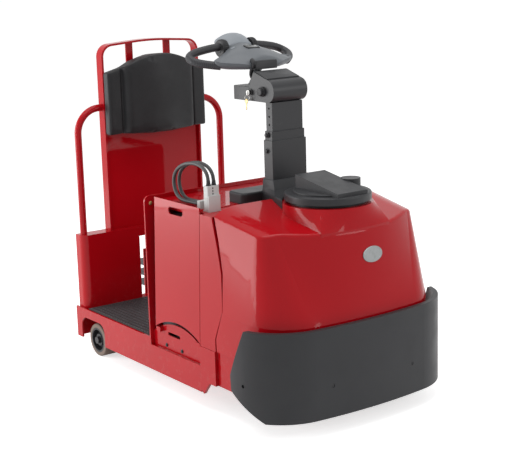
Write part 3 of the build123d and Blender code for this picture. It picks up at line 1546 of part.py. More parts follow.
# Battery connector
connector_top_z = post_top_z + sheet + connector_height
with BuildPart() as battery_connector:
    with BuildSketch(Plane.XY.offset(post_top_z + sheet)):
        with Locations((connector_x, connector_y)):
            RectangleRounded(connector_thickness, connector_length, mast_step)
    extrude(amount=connector_height)
battery_connector.part.label = "battery_connector"
export_step(battery_connector.part, "parts/battery_connector.step")

# Battery leads: two cables in one loop from the connector back to the gland
lead_route = (
    (connector_x, connector_top_z),
    (connector_x, 880.0),
    (233.0, 910.0),
    (206.0, 932.0),
    (169.0, 942.0),
    (127.0, 941.0),
    (75.0, 930.0),
    (32.0, 911.0),
    (0.0, 892.0),
    (-19.0, 860.0),
    (-19.0, 822.0),
    (0.0, 790.0),
    (32.0, 772.0),
    (74.0, 768.5),
    (128.0, cover_z + gland_height / 2),
    (gland_x, cover_z + gland_height / 2),
)


def lead_radii(points):
    """Bend radius at each corner of the route, as large as its two runs allow."""
    radii = []
    for before, here, after in zip(points, points[1:], points[2:]):
        run_in = Vector(here) - Vector(before)
        run_out = Vector(after) - Vector(here)
        half_turn = radians(run_in.get_angle(run_out)) / 2
        radii.append(lead_arc_share * min(run_in.length, run_out.length) / tan(half_turn))
    return radii


with BuildPart() as battery_leads:
    for side in (-1, 1):
        lead_y = connector_y + side * lead_spacing / 2
        route = [(x, lead_y, z) for x, z in lead_route]
        with BuildLine() as lead_line:
            FilletPolyline(*route, radius=lead_radii(route))
        with BuildSketch(Plane(origin=lead_line.line @ 0, z_dir=lead_line.line % 0)):
            Circle(lead_radius)
        sweep(path=lead_line.line)
print("lead radii", [round(r) for r in lead_radii(route)])
battery_leads.part.label = "battery_leads"
export_step(battery_leads.part, "parts/battery_leads.step")
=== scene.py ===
"""Looks of a stand-up tow tractor: finishes, soft goods, fasteners and small parts round its CAD model."""

import math

import bmesh
import bpy
from bpy.props import FloatProperty, FloatVectorProperty, IntProperty, PointerProperty
from mathutils import Matrix, Vector


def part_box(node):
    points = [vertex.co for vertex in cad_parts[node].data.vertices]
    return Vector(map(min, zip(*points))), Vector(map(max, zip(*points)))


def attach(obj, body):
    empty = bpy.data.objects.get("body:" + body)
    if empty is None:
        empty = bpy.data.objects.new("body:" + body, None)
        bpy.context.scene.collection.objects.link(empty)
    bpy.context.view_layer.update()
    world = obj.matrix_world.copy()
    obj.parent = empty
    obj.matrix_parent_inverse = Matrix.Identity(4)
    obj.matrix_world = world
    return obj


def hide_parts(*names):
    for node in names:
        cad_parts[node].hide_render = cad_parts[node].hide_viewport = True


bl_info = {
    "name": "Stand-up Tow Tractor",
    "version": (1, 0, 0),
    "blender": (4, 5, 0),
    "location": "View3D > Sidebar > Tow Tractor",
    "description": "Finishes, cushion, leads and small parts for the tow tractor's CAD model",
    "category": "Object",
}

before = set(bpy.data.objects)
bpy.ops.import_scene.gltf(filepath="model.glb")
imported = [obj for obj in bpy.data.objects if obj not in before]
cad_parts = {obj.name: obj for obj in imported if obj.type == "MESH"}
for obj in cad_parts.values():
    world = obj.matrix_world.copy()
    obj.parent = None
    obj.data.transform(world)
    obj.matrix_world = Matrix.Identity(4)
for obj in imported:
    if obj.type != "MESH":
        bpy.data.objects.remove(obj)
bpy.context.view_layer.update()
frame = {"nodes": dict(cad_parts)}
mm = 0.001
chassis = "chassis"
handle = "handle"


class TractorColours(bpy.types.PropertyGroup):
    """Paint, moulding and cover colours, linear."""

    red: FloatVectorProperty(
        name="Red paint", description="Body enamel", subtype="COLOR",
        default=(0.42, 0.003, 0.008), min=0, max=1)
    charcoal: FloatVectorProperty(
        name="Charcoal", description="Bumper and mast mouldings", subtype="COLOR",
        default=(0.027, 0.0275, 0.030), min=0, max=1)
    vinyl: FloatVectorProperty(
        name="Vinyl", description="Backrest cover", subtype="COLOR",
        default=(0.011, 0.011, 0.0125), min=0, max=1)
    handle_shell: FloatVectorProperty(
        name="Handle shell", description="Upper moulding of the steering handle", subtype="COLOR",
        default=(0.13, 0.14, 0.152), min=0, max=1)
    pale_grey: FloatVectorProperty(
        name="Pale grey", description="Handle cap and battery connector", subtype="COLOR",
        default=(0.58, 0.59, 0.58), min=0, max=1)
    tread: FloatVectorProperty(
        name="Tyre", description="Solid tyre rubber", subtype="COLOR",
        default=(0.19, 0.145, 0.12), min=0, max=1)


class TractorSizes(bpy.types.PropertyGroup):
    """Sizes of the pieces that dress the CAD model."""

    stud_pitch: FloatProperty(
        name="Stud pitch", description="Distance between the mat's studs", subtype="DISTANCE",
        unit="LENGTH", default=21 * mm, min=10 * mm, max=60 * mm)
    stud_rise: FloatProperty(
        name="Stud rise", description="Height of a stud over the mat", subtype="DISTANCE",
        unit="LENGTH", default=2.4 * mm, min=0.5 * mm, max=6 * mm)
    lead_diameter: FloatProperty(
        name="Lead diameter", description="Outside diameter of a battery lead", subtype="DISTANCE",
        unit="LENGTH", default=14 * mm, min=6 * mm, max=25 * mm)
    badge_width: FloatProperty(
        name="Badge width", description="Width of the blank oval badge", subtype="DISTANCE",
        unit="LENGTH", default=98 * mm, min=30 * mm, max=150 * mm)
    cushion_pressure: FloatProperty(
        name="Cushion pressure", description="Air pressure that fills the backrest cushion",
        default=4.0, min=0.5, max=12.0)
    wheel_ribs: IntProperty(
        name="Thumb wheel ribs", description="Ribs round each thumb wheel", default=30, min=8, max=60)


def sizes():
    return bpy.context.scene.tractor_sizes


def colours():
    return bpy.context.scene.tractor_colours


class Value:
    """A socket of a node tree that Python arithmetic works on."""

    def __init__(self, nodes, socket):
        self.nodes = nodes
        self.socket = socket

    def maths(self, operation, left, right, clamp=False):
        return self.nodes.node(
            "ShaderNodeMath", {"operation": operation, "use_clamp": clamp}, {0: left, 1: right})

    def __add__(self, other):
        return self.maths("ADD", self, other)

    def __radd__(self, other):
        return self.maths("ADD", other, self)

    def __sub__(self, other):
        return self.maths("SUBTRACT", self, other)

    def __rsub__(self, other):
        return self.maths("SUBTRACT", other, self)

    def __mul__(self, other):
        return self.maths("MULTIPLY", self, other)

    def __rmul__(self, other):
        return self.maths("MULTIPLY", other, self)

    def clamped(self):
        return self.maths("ADD", self, 0.0, clamp=True)


class Nodes:
    """Adds nodes to one tree: a node's settings first, then the values or links of its sockets."""

    def __init__(self, tree):
        self.tree = tree

    def node(self, kind, settings=None, values=None, output=0):
        made = self.tree.nodes.new(kind)
        for name, setting in (settings or {}).items():
            setattr(made, name, setting)
        for name, value in (values or {}).items():
            self.put(made.inputs[name], value)
        return Value(self, made.outputs[output])

    def put(self, socket, value):
        if isinstance(value, Value):
            self.tree.links.new(value.socket, socket)
        elif hasattr(value, "__len__") and len(socket.default_value) == 4 and len(value) == 3:
            socket.default_value = (*value, 1.0)
        else:
            socket.default_value = value

    def background_rays(self):
        """1 where the camera, a gloss or a clear piece looks on, and 0 for the light on the object."""
        camera, gloss, clear = (
            self.node("ShaderNodeLightPath", output=name)
            for name in ("Is Camera Ray", "Is Glossy Ray", "Is Transmission Ray"))
        return (camera + gloss + clear).clamped()


class Finish(Nodes):
    """A material built in plain steps: pattern values first, then the shader's sockets."""

    def __init__(self, name, **constants):
        self.material = bpy.data.materials.new(name)
        self.material.use_nodes = True
        super().__init__(self.material.node_tree)
        self.shader = self.tree.nodes["Principled BSDF"]
        self.place = self.node("ShaderNodeTexCoord", output="Object")
        for socket, amount in constants.items():
            self.set(socket.replace("_", " "), amount)

    def set(self, name, value):
        self.put(self.shader.inputs[name], value)

    def stretched(self, scale):
        return self.node("ShaderNodeMapping", {}, {"Vector": self.place, "Scale": scale})

    def noise(self, scale, detail=2.0, roughness=0.5, place=None):
        return self.node(
            "ShaderNodeTexNoise", {},
            {"Vector": place or self.place, "Scale": scale, "Detail": detail, "Roughness": roughness})

    def cells(self, scale, feature="F1"):
        return self.node(
            "ShaderNodeTexVoronoi", {"feature": feature},
            {"Vector": self.place, "Scale": scale}, "Distance")

    def along(self, axis):
        return self.node("ShaderNodeSeparateXYZ", {}, {0: self.place}, axis)

    def ramp(self, factor, low, high):
        return self.node(
            "ShaderNodeMapRange", {"interpolation_type": "SMOOTHSTEP"},
            {0: factor, 1: low, 2: high, 3: 0.0, 4: 1.0})

    def blend(self, factor, first, second):
        return self.node(
            "ShaderNodeMix", {"data_type": "RGBA"}, {0: factor, 6: first, 7: second}, 2)

    def bump(self, height, strength, distance, edge=0.0):
        values = {"Height": height, "Strength": strength, "Distance": distance}
        if edge:
            values["Normal"] = self.node("ShaderNodeBevel", {"samples": 4}, {"Radius": edge})
        self.set("Normal", self.node("ShaderNodeBump", {}, values))


def shade(colour, share):
    return tuple(min(1.0, channel * share) for channel in colour)


def toward(colour, other, share):
    return tuple(a + (b - a) * share for a, b in zip(colour, other))


def enamel(name, colour, edge):
    """Gloss enamel: faint orange peel, slow colour drift, dust low down and fine swirl marks."""
    paint = Finish(
        name, Coat_Weight=0.65, Coat_IOR=1.32, Coat_Roughness=0.04, Specular_IOR_Level=0.03)
    drift = paint.noise(2.2, 3.0)
    low = 1.0 - paint.ramp(paint.along(2), 0.05, 0.42)
    grit = paint.ramp(paint.noise(34.0, 6.0, 0.65), 0.50, 0.72)
    dust = (low * grit * 0.30).clamped()
    tone = paint.blend(drift, shade(colour, 0.88), shade(colour, 1.10))
    paint.set("Base Color", paint.blend(dust, tone, toward(colour, (0.34, 0.22, 0.18), 0.35)))
    swirl = paint.noise(60.0, 4.0, 0.6, paint.stretched((1.0, 1.0, 5.0)))
    paint.set("Roughness", (0.20 + 0.10 * swirl + 0.35 * dust).clamped())
    peel = paint.noise(260.0, 2.0, 0.55)
    paint.bump(peel + 0.5 * drift, 0.10, 0.25 * mm, edge)
    return paint.material


def moulding(name, colour, roughness, grain, edge, depth=0.22):
    """Moulded plastic: stipple grain, slow tone drift and slightly polished patches."""
    plastic = Finish(name, Specular_IOR_Level=0.25)
    drift = plastic.noise(5.0, 3.0)
    stipple = plastic.cells(grain)
    fine = plastic.noise(grain * 1.8, 3.0, 0.6)
    speck = plastic.ramp(fine, 0.55, 0.75)
    tone = plastic.blend(drift, shade(colour, 0.86), shade(colour, 1.12))
    plastic.set("Base Color", plastic.blend(speck * 0.35, tone, shade(colour, 1.5)))
    polish = plastic.ramp(plastic.noise(12.0, 4.0, 0.6), 0.35, 0.75)
    plastic.set("Roughness", (roughness + 0.10 * polish + 0.08 * (fine - 0.5)).clamped())
    plastic.bump(stipple * 0.7 + fine * 0.5, depth, 0.3 * mm, edge)
    return plastic.material


def powder_coat(name, colour, roughness=0.42, edge=1.2 * mm):
    """Powder coat: rounded peel texture with sparse brighter specks and scuffs."""
    coat = Finish(name, Specular_IOR_Level=0.3)
    peel = coat.noise(420.0, 2.0, 0.5)
    scuff = coat.ramp(coat.noise(26.0, 8.0, 0.7), 0.60, 0.76)
    coat.set("Base Color", coat.blend(scuff * 0.30, colour, toward(colour, (0.3, 0.3, 0.3), 0.25)))
    coat.set("Roughness", (roughness + 0.18 * scuff + 0.06 * (peel - 0.5)).clamped())
    coat.bump(peel, 0.30, 0.3 * mm, edge)
    return coat.material


def leather_cloth(name, colour):
    """Upholstery vinyl: pebble grain with creases between the pebbles and handled shine; the creases carry
    painted shade.
    """
    vinyl = Finish(name, Specular_IOR_Level=0.28, Sheen_Weight=0.03, Sheen_Roughness=0.5)
    pebble = vinyl.cells(330.0, "SMOOTH_F1")
    crease = vinyl.ramp(vinyl.cells(210.0, "DISTANCE_TO_EDGE"), 0.0, 0.09)
    worn = vinyl.ramp(vinyl.noise(7.0, 4.0, 0.55), 0.40, 0.72)
    tone = vinyl.blend(worn, shade(colour, 0.90), shade(colour, 1.25))
    # Darker colour in the creases between the pebbles is painted shade.
    vinyl.set("Base Color", vinyl.blend((1.0 - crease) * 0.35, tone, shade(colour, 0.6)))
    vinyl.set("Roughness", (0.40 + 0.10 * (1.0 - worn) + 0.14 * (1.0 - crease)).clamped())
    vinyl.bump(crease * 0.8 - pebble * 0.6, 0.16, 0.5 * mm)
    return vinyl.material


def mat_rubber(name, colour, crown):
    """Mat rubber: matt compound, dust in the grooves, polished stud tops."""
    rubber = Finish(name, Specular_IOR_Level=0.35)
    top = rubber.ramp(rubber.along(2), crown - 1.6 * mm, crown - 0.3 * mm)
    grit = rubber.noise(150.0, 6.0, 0.7)
    groove = toward(colour, (0.16, 0.14, 0.12), 0.20)
    body = rubber.blend(grit, shade(colour, 0.8), shade(colour, 1.35))
    rubber.set("Base Color", rubber.blend(top, rubber.blend(grit, groove, colour), body))
    rubber.set("Roughness", (0.78 - 0.26 * top + 0.10 * (grit - 0.5)).clamped())
    rubber.bump(grit, 0.35, 0.5 * mm)
    return rubber.material


def tyre_rubber(name, colour):
    """Solid tyre: rolled scuffs round the tread, specks of grit pressed in."""
    tyre = Finish(name, Specular_IOR_Level=0.30)
    scuff = tyre.noise(40.0, 6.0, 0.65, tyre.stretched((0.6, 5.0, 0.6)))
    grit = tyre.ramp(tyre.noise(230.0, 4.0, 0.7), 0.60, 0.72)
    tone = tyre.blend(scuff, shade(colour, 0.72), shade(colour, 1.30))
    tyre.set("Base Color", tyre.blend(grit * 0.5, tone, shade(colour, 0.45)))
    tyre.set("Roughness", (0.66 + 0.18 * scuff).clamped())
    tyre.bump(scuff * 0.8 + grit * 0.4, 0.30, 0.5 * mm, 1.5 * mm)
    return tyre.material


def metal(name, colour, roughness, lines, edge=0.5 * mm):
    """Plated or bright steel: fine drawn lines and dull fingerprints."""
    steel = Finish(name, Metallic=1.0)
    drawn = steel.noise(lines, 3.0, 0.6, steel.stretched((1.0, 1.0, 14.0)))
    stain = steel.ramp(steel.noise(55.0, 5.0, 0.6), 0.48, 0.74)
    steel.set("Base Color", steel.blend(stain * 0.45, colour, shade(colour, 0.62)))
    steel.set("Roughness", (roughness + 0.16 * stain + 0.10 * (drawn - 0.5)).clamped())
    steel.bump(drawn, 0.12, 0.15 * mm, edge)
    return steel.material


def grip_rubber(name, colour):
    """Soft grip: close cross ribs with handled, shinier crowns; the crowns carry a painted highlight and the
    grooves painted shade.
    """
    grip = Finish(name, Specular_IOR_Level=0.35)
    rib = grip.node(
        "ShaderNodeTexWave", {"bands_direction": "Y"},
        {"Vector": grip.place, "Scale": 55.0, "Distortion": 0.4, "Detail": 1.0}, 1)
    fine = grip.noise(500.0, 3.0, 0.6)
    # The ribs' colour is painted light: lighter crowns are a painted highlight, darker grooves are painted
    # shade.
    grip.set("Base Color", grip.blend(rib, shade(colour, 0.8), shade(colour, 1.4)))
    grip.set("Roughness", (0.60 - 0.14 * rib + 0.10 * (fine - 0.5)).clamped())
    grip.bump(rib * 0.8 + fine * 0.3, 0.30, 0.6 * mm)
    return grip.material


def cable_jacket(name, colour):
    """Cable jacket: extruded rubber with faint lengthwise marks and chalky patches."""
    jacket = Finish(name, Specular_IOR_Level=0.42)
    chalk = jacket.ramp(jacket.noise(48.0, 5.0, 0.65), 0.50, 0.74)
    fine = jacket.noise(700.0, 2.0, 0.5)
    jacket.set("Base Color", jacket.blend(chalk * 0.4, colour, toward(colour, (0.3, 0.3, 0.3), 0.3)))
    jacket.set("Roughness", (0.44 + 0.18 * chalk).clamped())
    jacket.bump(fine, 0.16, 0.2 * mm)
    return jacket.material


def display_glass(name):
    """Display cover: dark glossy pane with a soft bloom of wiped smears."""
    pane = Finish(name, Coat_Weight=0.8, Coat_Roughness=0.05, Specular_IOR_Level=0.5)
    smear = pane.ramp(pane.noise(90.0, 4.0, 0.6), 0.42, 0.75)
    pane.set("Base Color", pane.blend(smear, (0.012, 0.016, 0.016), (0.035, 0.042, 0.042)))
    pane.set("Roughness", (0.12 + 0.20 * smear).clamped())
    pane.bump(smear, 0.05, 0.1 * mm)
    return pane.material


finishes = {}


def finish(name):
    return finishes[name]


def mesh_piece(name, bm, coat, body, smooth=True):
    """Turns a finished bmesh into a piece of the object that rides on a body."""
    bmesh.ops.remove_doubles(bm, verts=bm.verts, dist=1e-6)
    bmesh.ops.recalc_face_normals(bm, faces=bm.faces)
    mesh = bpy.data.meshes.new(name)
    bm.to_mesh(mesh)
    bm.free()
    made = bpy.data.objects.new(name, mesh)
    bpy.context.scene.collection.objects.link(made)
    mesh.materials.append(finish(coat))
    if smooth:
        mesh.shade_smooth()
        mesh.set_sharp_from_angle(angle=math.radians(32))
    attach(made, body)
    return made


def facing(place, outward, roll=Vector((0, 0, 1))):
    """Matrix that puts local +Z along outward and local +Y near roll, at place."""
    z = Vector(outward).normalized()
    x = Vector(roll).cross(z)
    if x.length < 1e-6:
        x = Vector((1, 0, 0))
    x.normalize()
    y = z.cross(x)
    turn = Matrix((x, y, z)).transposed().to_4x4()
    return Matrix.Translation(Vector(place)) @ turn


def on_surface(piece, start, direction):
    """Point and normal where a ray meets a piece."""
    seen = piece.evaluated_get(bpy.context.evaluated_depsgraph_get())
    hit, place, normal, _ = seen.ray_cast(Vector(start), Vector(direction).normalized())
    if not hit:
        raise RuntimeError(f"nothing of {piece.name} lies along the ray from {start}")
    return place, normal if normal.dot(Vector(direction)) < 0 else -normal


def soften(bm, edges, width, segments=2):
    bmesh.ops.bevel(
        bm, geom=edges, offset=width, offset_type="OFFSET", affect="EDGES",
        segments=segments, profile=0.5, material=-1, clamp_overlap=True)


def upper_rim(bm, verts, level):
    """Edges whose two ends lie at the local height."""
    chosen = set(verts)
    return [
        e for v in chosen for e in v.link_edges
        if all(abs(end.co.z - level) < 1e-7 and end in chosen for end in e.verts)]


def add_puck(bm, place, radius, height, sides=28, round_over=0.0, oval=1.0, sunk=0.0):
    """Round or many-sided plate standing on a surface: place is its matrix."""
    made = bmesh.ops.create_cone(
        bm, cap_ends=True, segments=sides, radius1=radius, radius2=radius, depth=height)["verts"]
    bmesh.ops.scale(bm, verts=made, vec=(1.0, oval, 1.0))
    bmesh.ops.translate(bm, verts=made, vec=(0, 0, height / 2 - sunk))
    keep = set(bm.verts) - set(made)
    if round_over:
        soften(bm, list(set(upper_rim(bm, made, height - sunk))), round_over, 3)
    fresh = [v for v in bm.verts if v not in keep]
    bmesh.ops.transform(bm, matrix=place, verts=fresh)
    return fresh


def add_slab(bm, place, length, width, thick, corner, edge, sunk=0.0):
    """Plate with rounded corners and a rounded upper edge: length along x, width along y."""
    keep = set(bm.verts)
    made = bmesh.ops.create_cube(bm, size=1.0)["verts"]
    bmesh.ops.scale(bm, verts=made, vec=(length, width, thick))
    bmesh.ops.translate(bm, verts=made, vec=(0, 0, thick / 2 - sunk))
    upright = {
        e for v in made for e in v.link_edges
        if abs(e.verts[0].co.x - e.verts[1].co.x) < 1e-9 and abs(e.verts[0].co.y - e.verts[1].co.y) < 1e-9}
    if corner:
        soften(bm, list(upright), corner, 4)
    fresh = [v for v in bm.verts if v not in keep]
    if edge:
        soften(bm, list(set(upper_rim(bm, fresh, thick - sunk))), edge, 2)
    fresh = [v for v in bm.verts if v not in keep]
    bmesh.ops.transform(bm, matrix=place, verts=fresh)
    return fresh


def add_hex_bolt(bm, place, radius, height):
    """Hexagon head on a washer."""
    add_puck(bm, place, radius * 1.5, height * 0.22, 28, height * 0.08)
    lifted = place @ Matrix.Translation((0, 0, height * 0.22))
    add_puck(bm, lifted, radius, height * 0.78, 6, height * 0.14)


def add_ring(bm, place, radius, wire, turns=40, sides=10):
    """Closed ring of round wire in the local XY plane."""
    keep = set(bm.verts)
    made = bmesh.ops.create_circle(bm, segments=sides, radius=wire)
    bmesh.ops.rotate(bm, verts=made["verts"], matrix=Matrix.Rotation(math.pi / 2, 3, "X"))
    bmesh.ops.translate(bm, verts=made["verts"], vec=(radius, 0, 0))
    edges = list({e for v in made["verts"] for e in v.link_edges})
    bmesh.ops.spin(
        bm, geom=edges, cent=(0, 0, 0), axis=(0, 0, 1), angle=2 * math.pi, steps=turns, use_merge=True)
    bmesh.ops.transform(bm, matrix=place, verts=[v for v in bm.verts if v not in keep])


def loft(bm, rings, sides):
    """Bridges rings of points. Each ring is a function from a unit-circle point to a place."""
    loops = []
    for ring in rings:
        made = bmesh.ops.create_circle(bm, segments=sides, radius=1.0)["verts"]
        for v in made:
            v.co = ring(v.co.x, v.co.y)
        loops.append(list({e for v in made for e in v.link_edges}))
    for low, high in zip(loops, loops[1:]):
        bmesh.ops.bridge_loops(bm, edges=low + high)
    for end in (loops[0], loops[-1]):
        bmesh.ops.contextual_create(bm, geom=end)


def round_ring(place, radius, level):
    """Ring of a loft: a circle at a height above a place."""
    return lambda x, y: place @ Vector((x * radius, y * radius, level))


def add_bar(name, line, radius, coat, body, sides=8, steps=10, capped=True):
    """Bent round bar or lead that follows a line of points in millimetres."""
    curve = bpy.data.curves.new(name, "CURVE")
    curve.dimensions = "3D"
    curve.bevel_depth = radius
    curve.bevel_resolution = sides
    curve.resolution_u = steps
    curve.use_fill_caps = capped
    spline = curve.splines.new("NURBS")
    spline.points.add(len(line) - 1)
    for point, (x, y, z) in zip(spline.points, line):
        point.co = (x * mm, y * mm, z * mm, 1)
    spline.order_u = 3
    spline.use_endpoint_u = True
    curve.materials.append(finish(coat))
    bar = bpy.data.objects.new(name, curve)
    bpy.context.scene.collection.objects.link(bar)
    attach(bar, body)
    return bar


def round_off(piece, levels):
    """Smooths a piece with subdivision, the same in view and render."""
    smoother = piece.modifiers.new("rounding", "SUBSURF")
    smoother.levels = levels
    smoother.render_levels = levels
    piece.data.shade_smooth()


class TRACTOR_OT_finishes(bpy.types.Operator):
    """Makes the finishes and puts one on every CAD node"""

    bl_idname = "tractor.finishes"
    bl_label = "Finishes"

    def execute(self, context):
        tone = colours()
        mat_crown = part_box("platform_mat")[1].z + sizes().stud_rise
        finishes.update({
            "red": enamel("red_enamel", tone.red, 1.6 * mm),
            "charcoal": moulding("charcoal_moulding", tone.charcoal, 0.40, 620.0, 1.5 * mm),
            "coat": powder_coat("black_powder_coat", (0.026, 0.026, 0.029)),
            "mast_coat": powder_coat("mast_powder_coat", (0.030, 0.0305, 0.033), 0.40),
            "vinyl": leather_cloth("black_vinyl", tone.vinyl),
            "mat": mat_rubber("ribbed_mat", (0.036, 0.037, 0.040), mat_crown),
            "casting": powder_coat("grey_casting", (0.12, 0.13, 0.14), 0.52),
            "tyre": tyre_rubber("taupe_tyre", tone.tread),
            "hub": powder_coat("hub_casting", (0.022, 0.022, 0.024), 0.46),
            "knob": moulding("black_knob", (0.024, 0.024, 0.026), 0.42, 900.0, 1.0 * mm),
            "shell": moulding("handle_shell", tone.handle_shell, 0.36, 1100.0, 1.0 * mm, 0.12),
            "pale": moulding("pale_moulding", tone.pale_grey, 0.42, 1000.0, 1.2 * mm, 0.14),
            "cap": moulding("handle_cap", shade(tone.handle_shell, 1.9), 0.38, 1000.0, 1.2 * mm, 0.12),
            "grip": grip_rubber("soft_grip", (0.024, 0.024, 0.027)),
            "steel": metal("bright_steel", (0.60, 0.59, 0.57), 0.28, 300.0),
            "gold": metal("gold_zinc", (0.46, 0.35, 0.17), 0.34, 300.0),
            "badge": metal("satin_badge", (0.25, 0.26, 0.26), 0.36, 420.0),
            "jacket": cable_jacket("lead_jacket", (0.034, 0.035, 0.036)),
            "pane": display_glass("display_pane"),
        })
        by_node = {
            "charcoal": ("bumper", "mast_cowl", "mast_base", "turntable_cover"),
            "mast_coat": ("mast_sleeve", "mast_column", "steering_head"),
            "coat": ("bumper_spacers", "drive_deck", "drive_yoke", "rear_axle", "tow_coupler"),
            "vinyl": ("backrest_pad",),
            "mat": ("platform_mat",),
            "casting": ("battery", "drive_motor"),
            "tyre": ("rear_tyre_right", "rear_tyre_left", "drive_tyre"),
            "hub": ("rear_hub_right", "rear_hub_left", "drive_hub"),
            "knob": ("head_knob", "key_switch", "thumb_wheels"),
            "shell": ("handle_shield",),
            "pale": ("handle_cap", "battery_connector", "connector_mounts"),
            "grip": ("handle_grip_right", "handle_grip_left"),
            "steel": ("coupler_pin",),
            "jacket": ("battery_leads",),
        }
        wanted = {node: coat for coat, nodes in by_node.items() for node in nodes}
        for name, node in frame["nodes"].items():
            for slot in node.material_slots:
                slot.material = finish(wanted.get(name, "red"))
        return {"FINISHED"}


class TRACTOR_OT_backrest(bpy.types.Operator):
    """Makes the padded backrest cushion from the CAD pad, with its welt"""

    bl_idname = "tractor.backrest"
    bl_label = "Backrest cushion"

    def execute(self, context):
        low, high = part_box("backrest_pad")
        middle = (low + high) / 2
        slim = Matrix.Diagonal((0.96, 0.992, 1.0, 1))
        bm = bmesh.new()
        bm.from_mesh(frame["nodes"]["backrest_pad"].data)
        bmesh.ops.remove_doubles(bm, verts=bm.verts, dist=1e-5)
        bmesh.ops.transform(
            bm, matrix=Matrix.Translation(middle) @ slim @ Matrix.Translation(-middle), verts=bm.verts)
        bmesh.ops.translate(bm, verts=bm.verts, vec=(-3 * mm, 0, 0))
        cushion = mesh_piece("backrest_cushion", bm, "vinyl", chassis)
        remesh = cushion.modifiers.new("voxels", "REMESH")
        remesh.mode = "VOXEL"
        remesh.voxel_size = 4 * mm
        remesh.adaptivity = 0
        self.apply_modifiers(cushion)
        self.relax(cushion, 5)
        self.fill_with_air(cushion, low.x)
        self.relax(cushion, 4)
        self.shape_front(cushion, low.x)
        round_off(cushion, 1)
        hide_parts("backrest_pad")
        self.add_welt(cushion, low.x + 11 * mm)
        return {"FINISHED"}

    def shape_front(self, piece, back):
        """Fills the bulge out towards its sides and draws it in at the valleys beside the wings."""
        valley = 178 * mm
        valley_depth = 9 * mm
        valley_reach = 0.06
        side_fullness = 34 * mm
        front = back + 30 * mm
        for v in piece.data.vertices:
            share = abs(v.co.y) / valley
            near = 1 - abs(share - 1) / valley_reach
            if v.co.x > front and share < 1:
                v.co.x += side_fullness * share ** 4 * (1 - share ** 12)
            if v.co.x > front and near > 0:
                v.co.x -= valley_depth * near * near
            v.co.x = max(v.co.x, back + 0.5 * mm)

    def apply_modifiers(self, piece):
        depsgraph = bpy.context.evaluated_depsgraph_get()
        solid = bpy.data.meshes.new_from_object(piece.evaluated_get(depsgraph))
        piece.modifiers.clear()
        solid.materials.clear()
        solid.materials.append(finish("vinyl"))
        piece.data = solid

    def relax(self, piece, rounds):
        bm = bmesh.new()
        bm.from_mesh(piece.data)
        for _ in range(rounds):
            bmesh.ops.smooth_vert(
                bm, verts=bm.verts, factor=0.5, use_axis_x=True, use_axis_y=True, use_axis_z=True)
        bm.to_mesh(piece.data)
        bm.free()

    def fill_with_air(self, piece, back):
        """Inflates the cover; the flat back stays on its panel."""
        fixed = piece.vertex_groups.new(name="back")
        rest = [v.co.copy() for v in piece.data.vertices]
        fixed.add([i for i, co in enumerate(rest) if co.x < back + 8 * mm], 1.0, "REPLACE")
        cloth = piece.modifiers.new("air", "CLOTH")
        cloth.settings.use_pressure = True
        cloth.settings.uniform_pressure_force = sizes().cushion_pressure
        cloth.settings.effector_weights.gravity = 0
        cloth.settings.vertex_group_mass = "back"
        cloth.settings.quality = 5
        cloth.settings.tension_stiffness = 60
        cloth.settings.compression_stiffness = 60
        cloth.settings.bending_stiffness = 12
        last_step = 20
        cloth.point_cache.frame_start = 1
        cloth.point_cache.frame_end = last_step
        for step in range(1, last_step + 1):
            bpy.context.scene.frame_set(step)
        depsgraph = bpy.context.evaluated_depsgraph_get()
        blown = bpy.data.meshes.new_from_object(piece.evaluated_get(depsgraph))
        furthest = 7 * mm
        for index, v in enumerate(blown.vertices):
            move = v.co - rest[index]
            if move.length > furthest:
                v.co = rest[index] + move.normalized() * furthest
        piece.modifiers.clear()
        piece.vertex_groups.clear()
        piece.data = blown
        bpy.context.scene.frame_set(1)

    def add_welt(self, cushion, depth):
        """Round piping where the cover's side is sewn to its back."""
        bm = bmesh.new()
        bm.from_mesh(cushion.data)
        cut = bmesh.ops.bisect_plane(
            bm, geom=bm.verts[:] + bm.edges[:] + bm.faces[:], plane_co=(depth, 0, 0), plane_no=(1, 0, 0),
            clear_inner=True, clear_outer=True)
        line = [e for e in cut["geom_cut"] if isinstance(e, bmesh.types.BMEdge)]
        bmesh.ops.dissolve_degenerate(bm, edges=line, dist=3 * mm)
        for _ in range(6):
            bmesh.ops.smooth_vert(
                bm, verts=bm.verts, factor=0.5, use_axis_x=False, use_axis_y=True, use_axis_z=True)
        mesh = bpy.data.meshes.new("backrest_welt")
        bm.to_mesh(mesh)
        bm.free()
        welt = bpy.data.objects.new("backrest_welt", mesh)
        bpy.context.scene.collection.objects.link(welt)
        bpy.ops.object.select_all(action="DESELECT")
        bpy.context.view_layer.objects.active = welt
        welt.select_set(True)
        bpy.ops.object.convert(target="CURVE")
        welt.data.bevel_depth = 2.6 * mm
        welt.data.bevel_resolution = 2
        welt.data.materials.append(finish("vinyl"))
        welt.select_set(False)
        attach(welt, chassis)


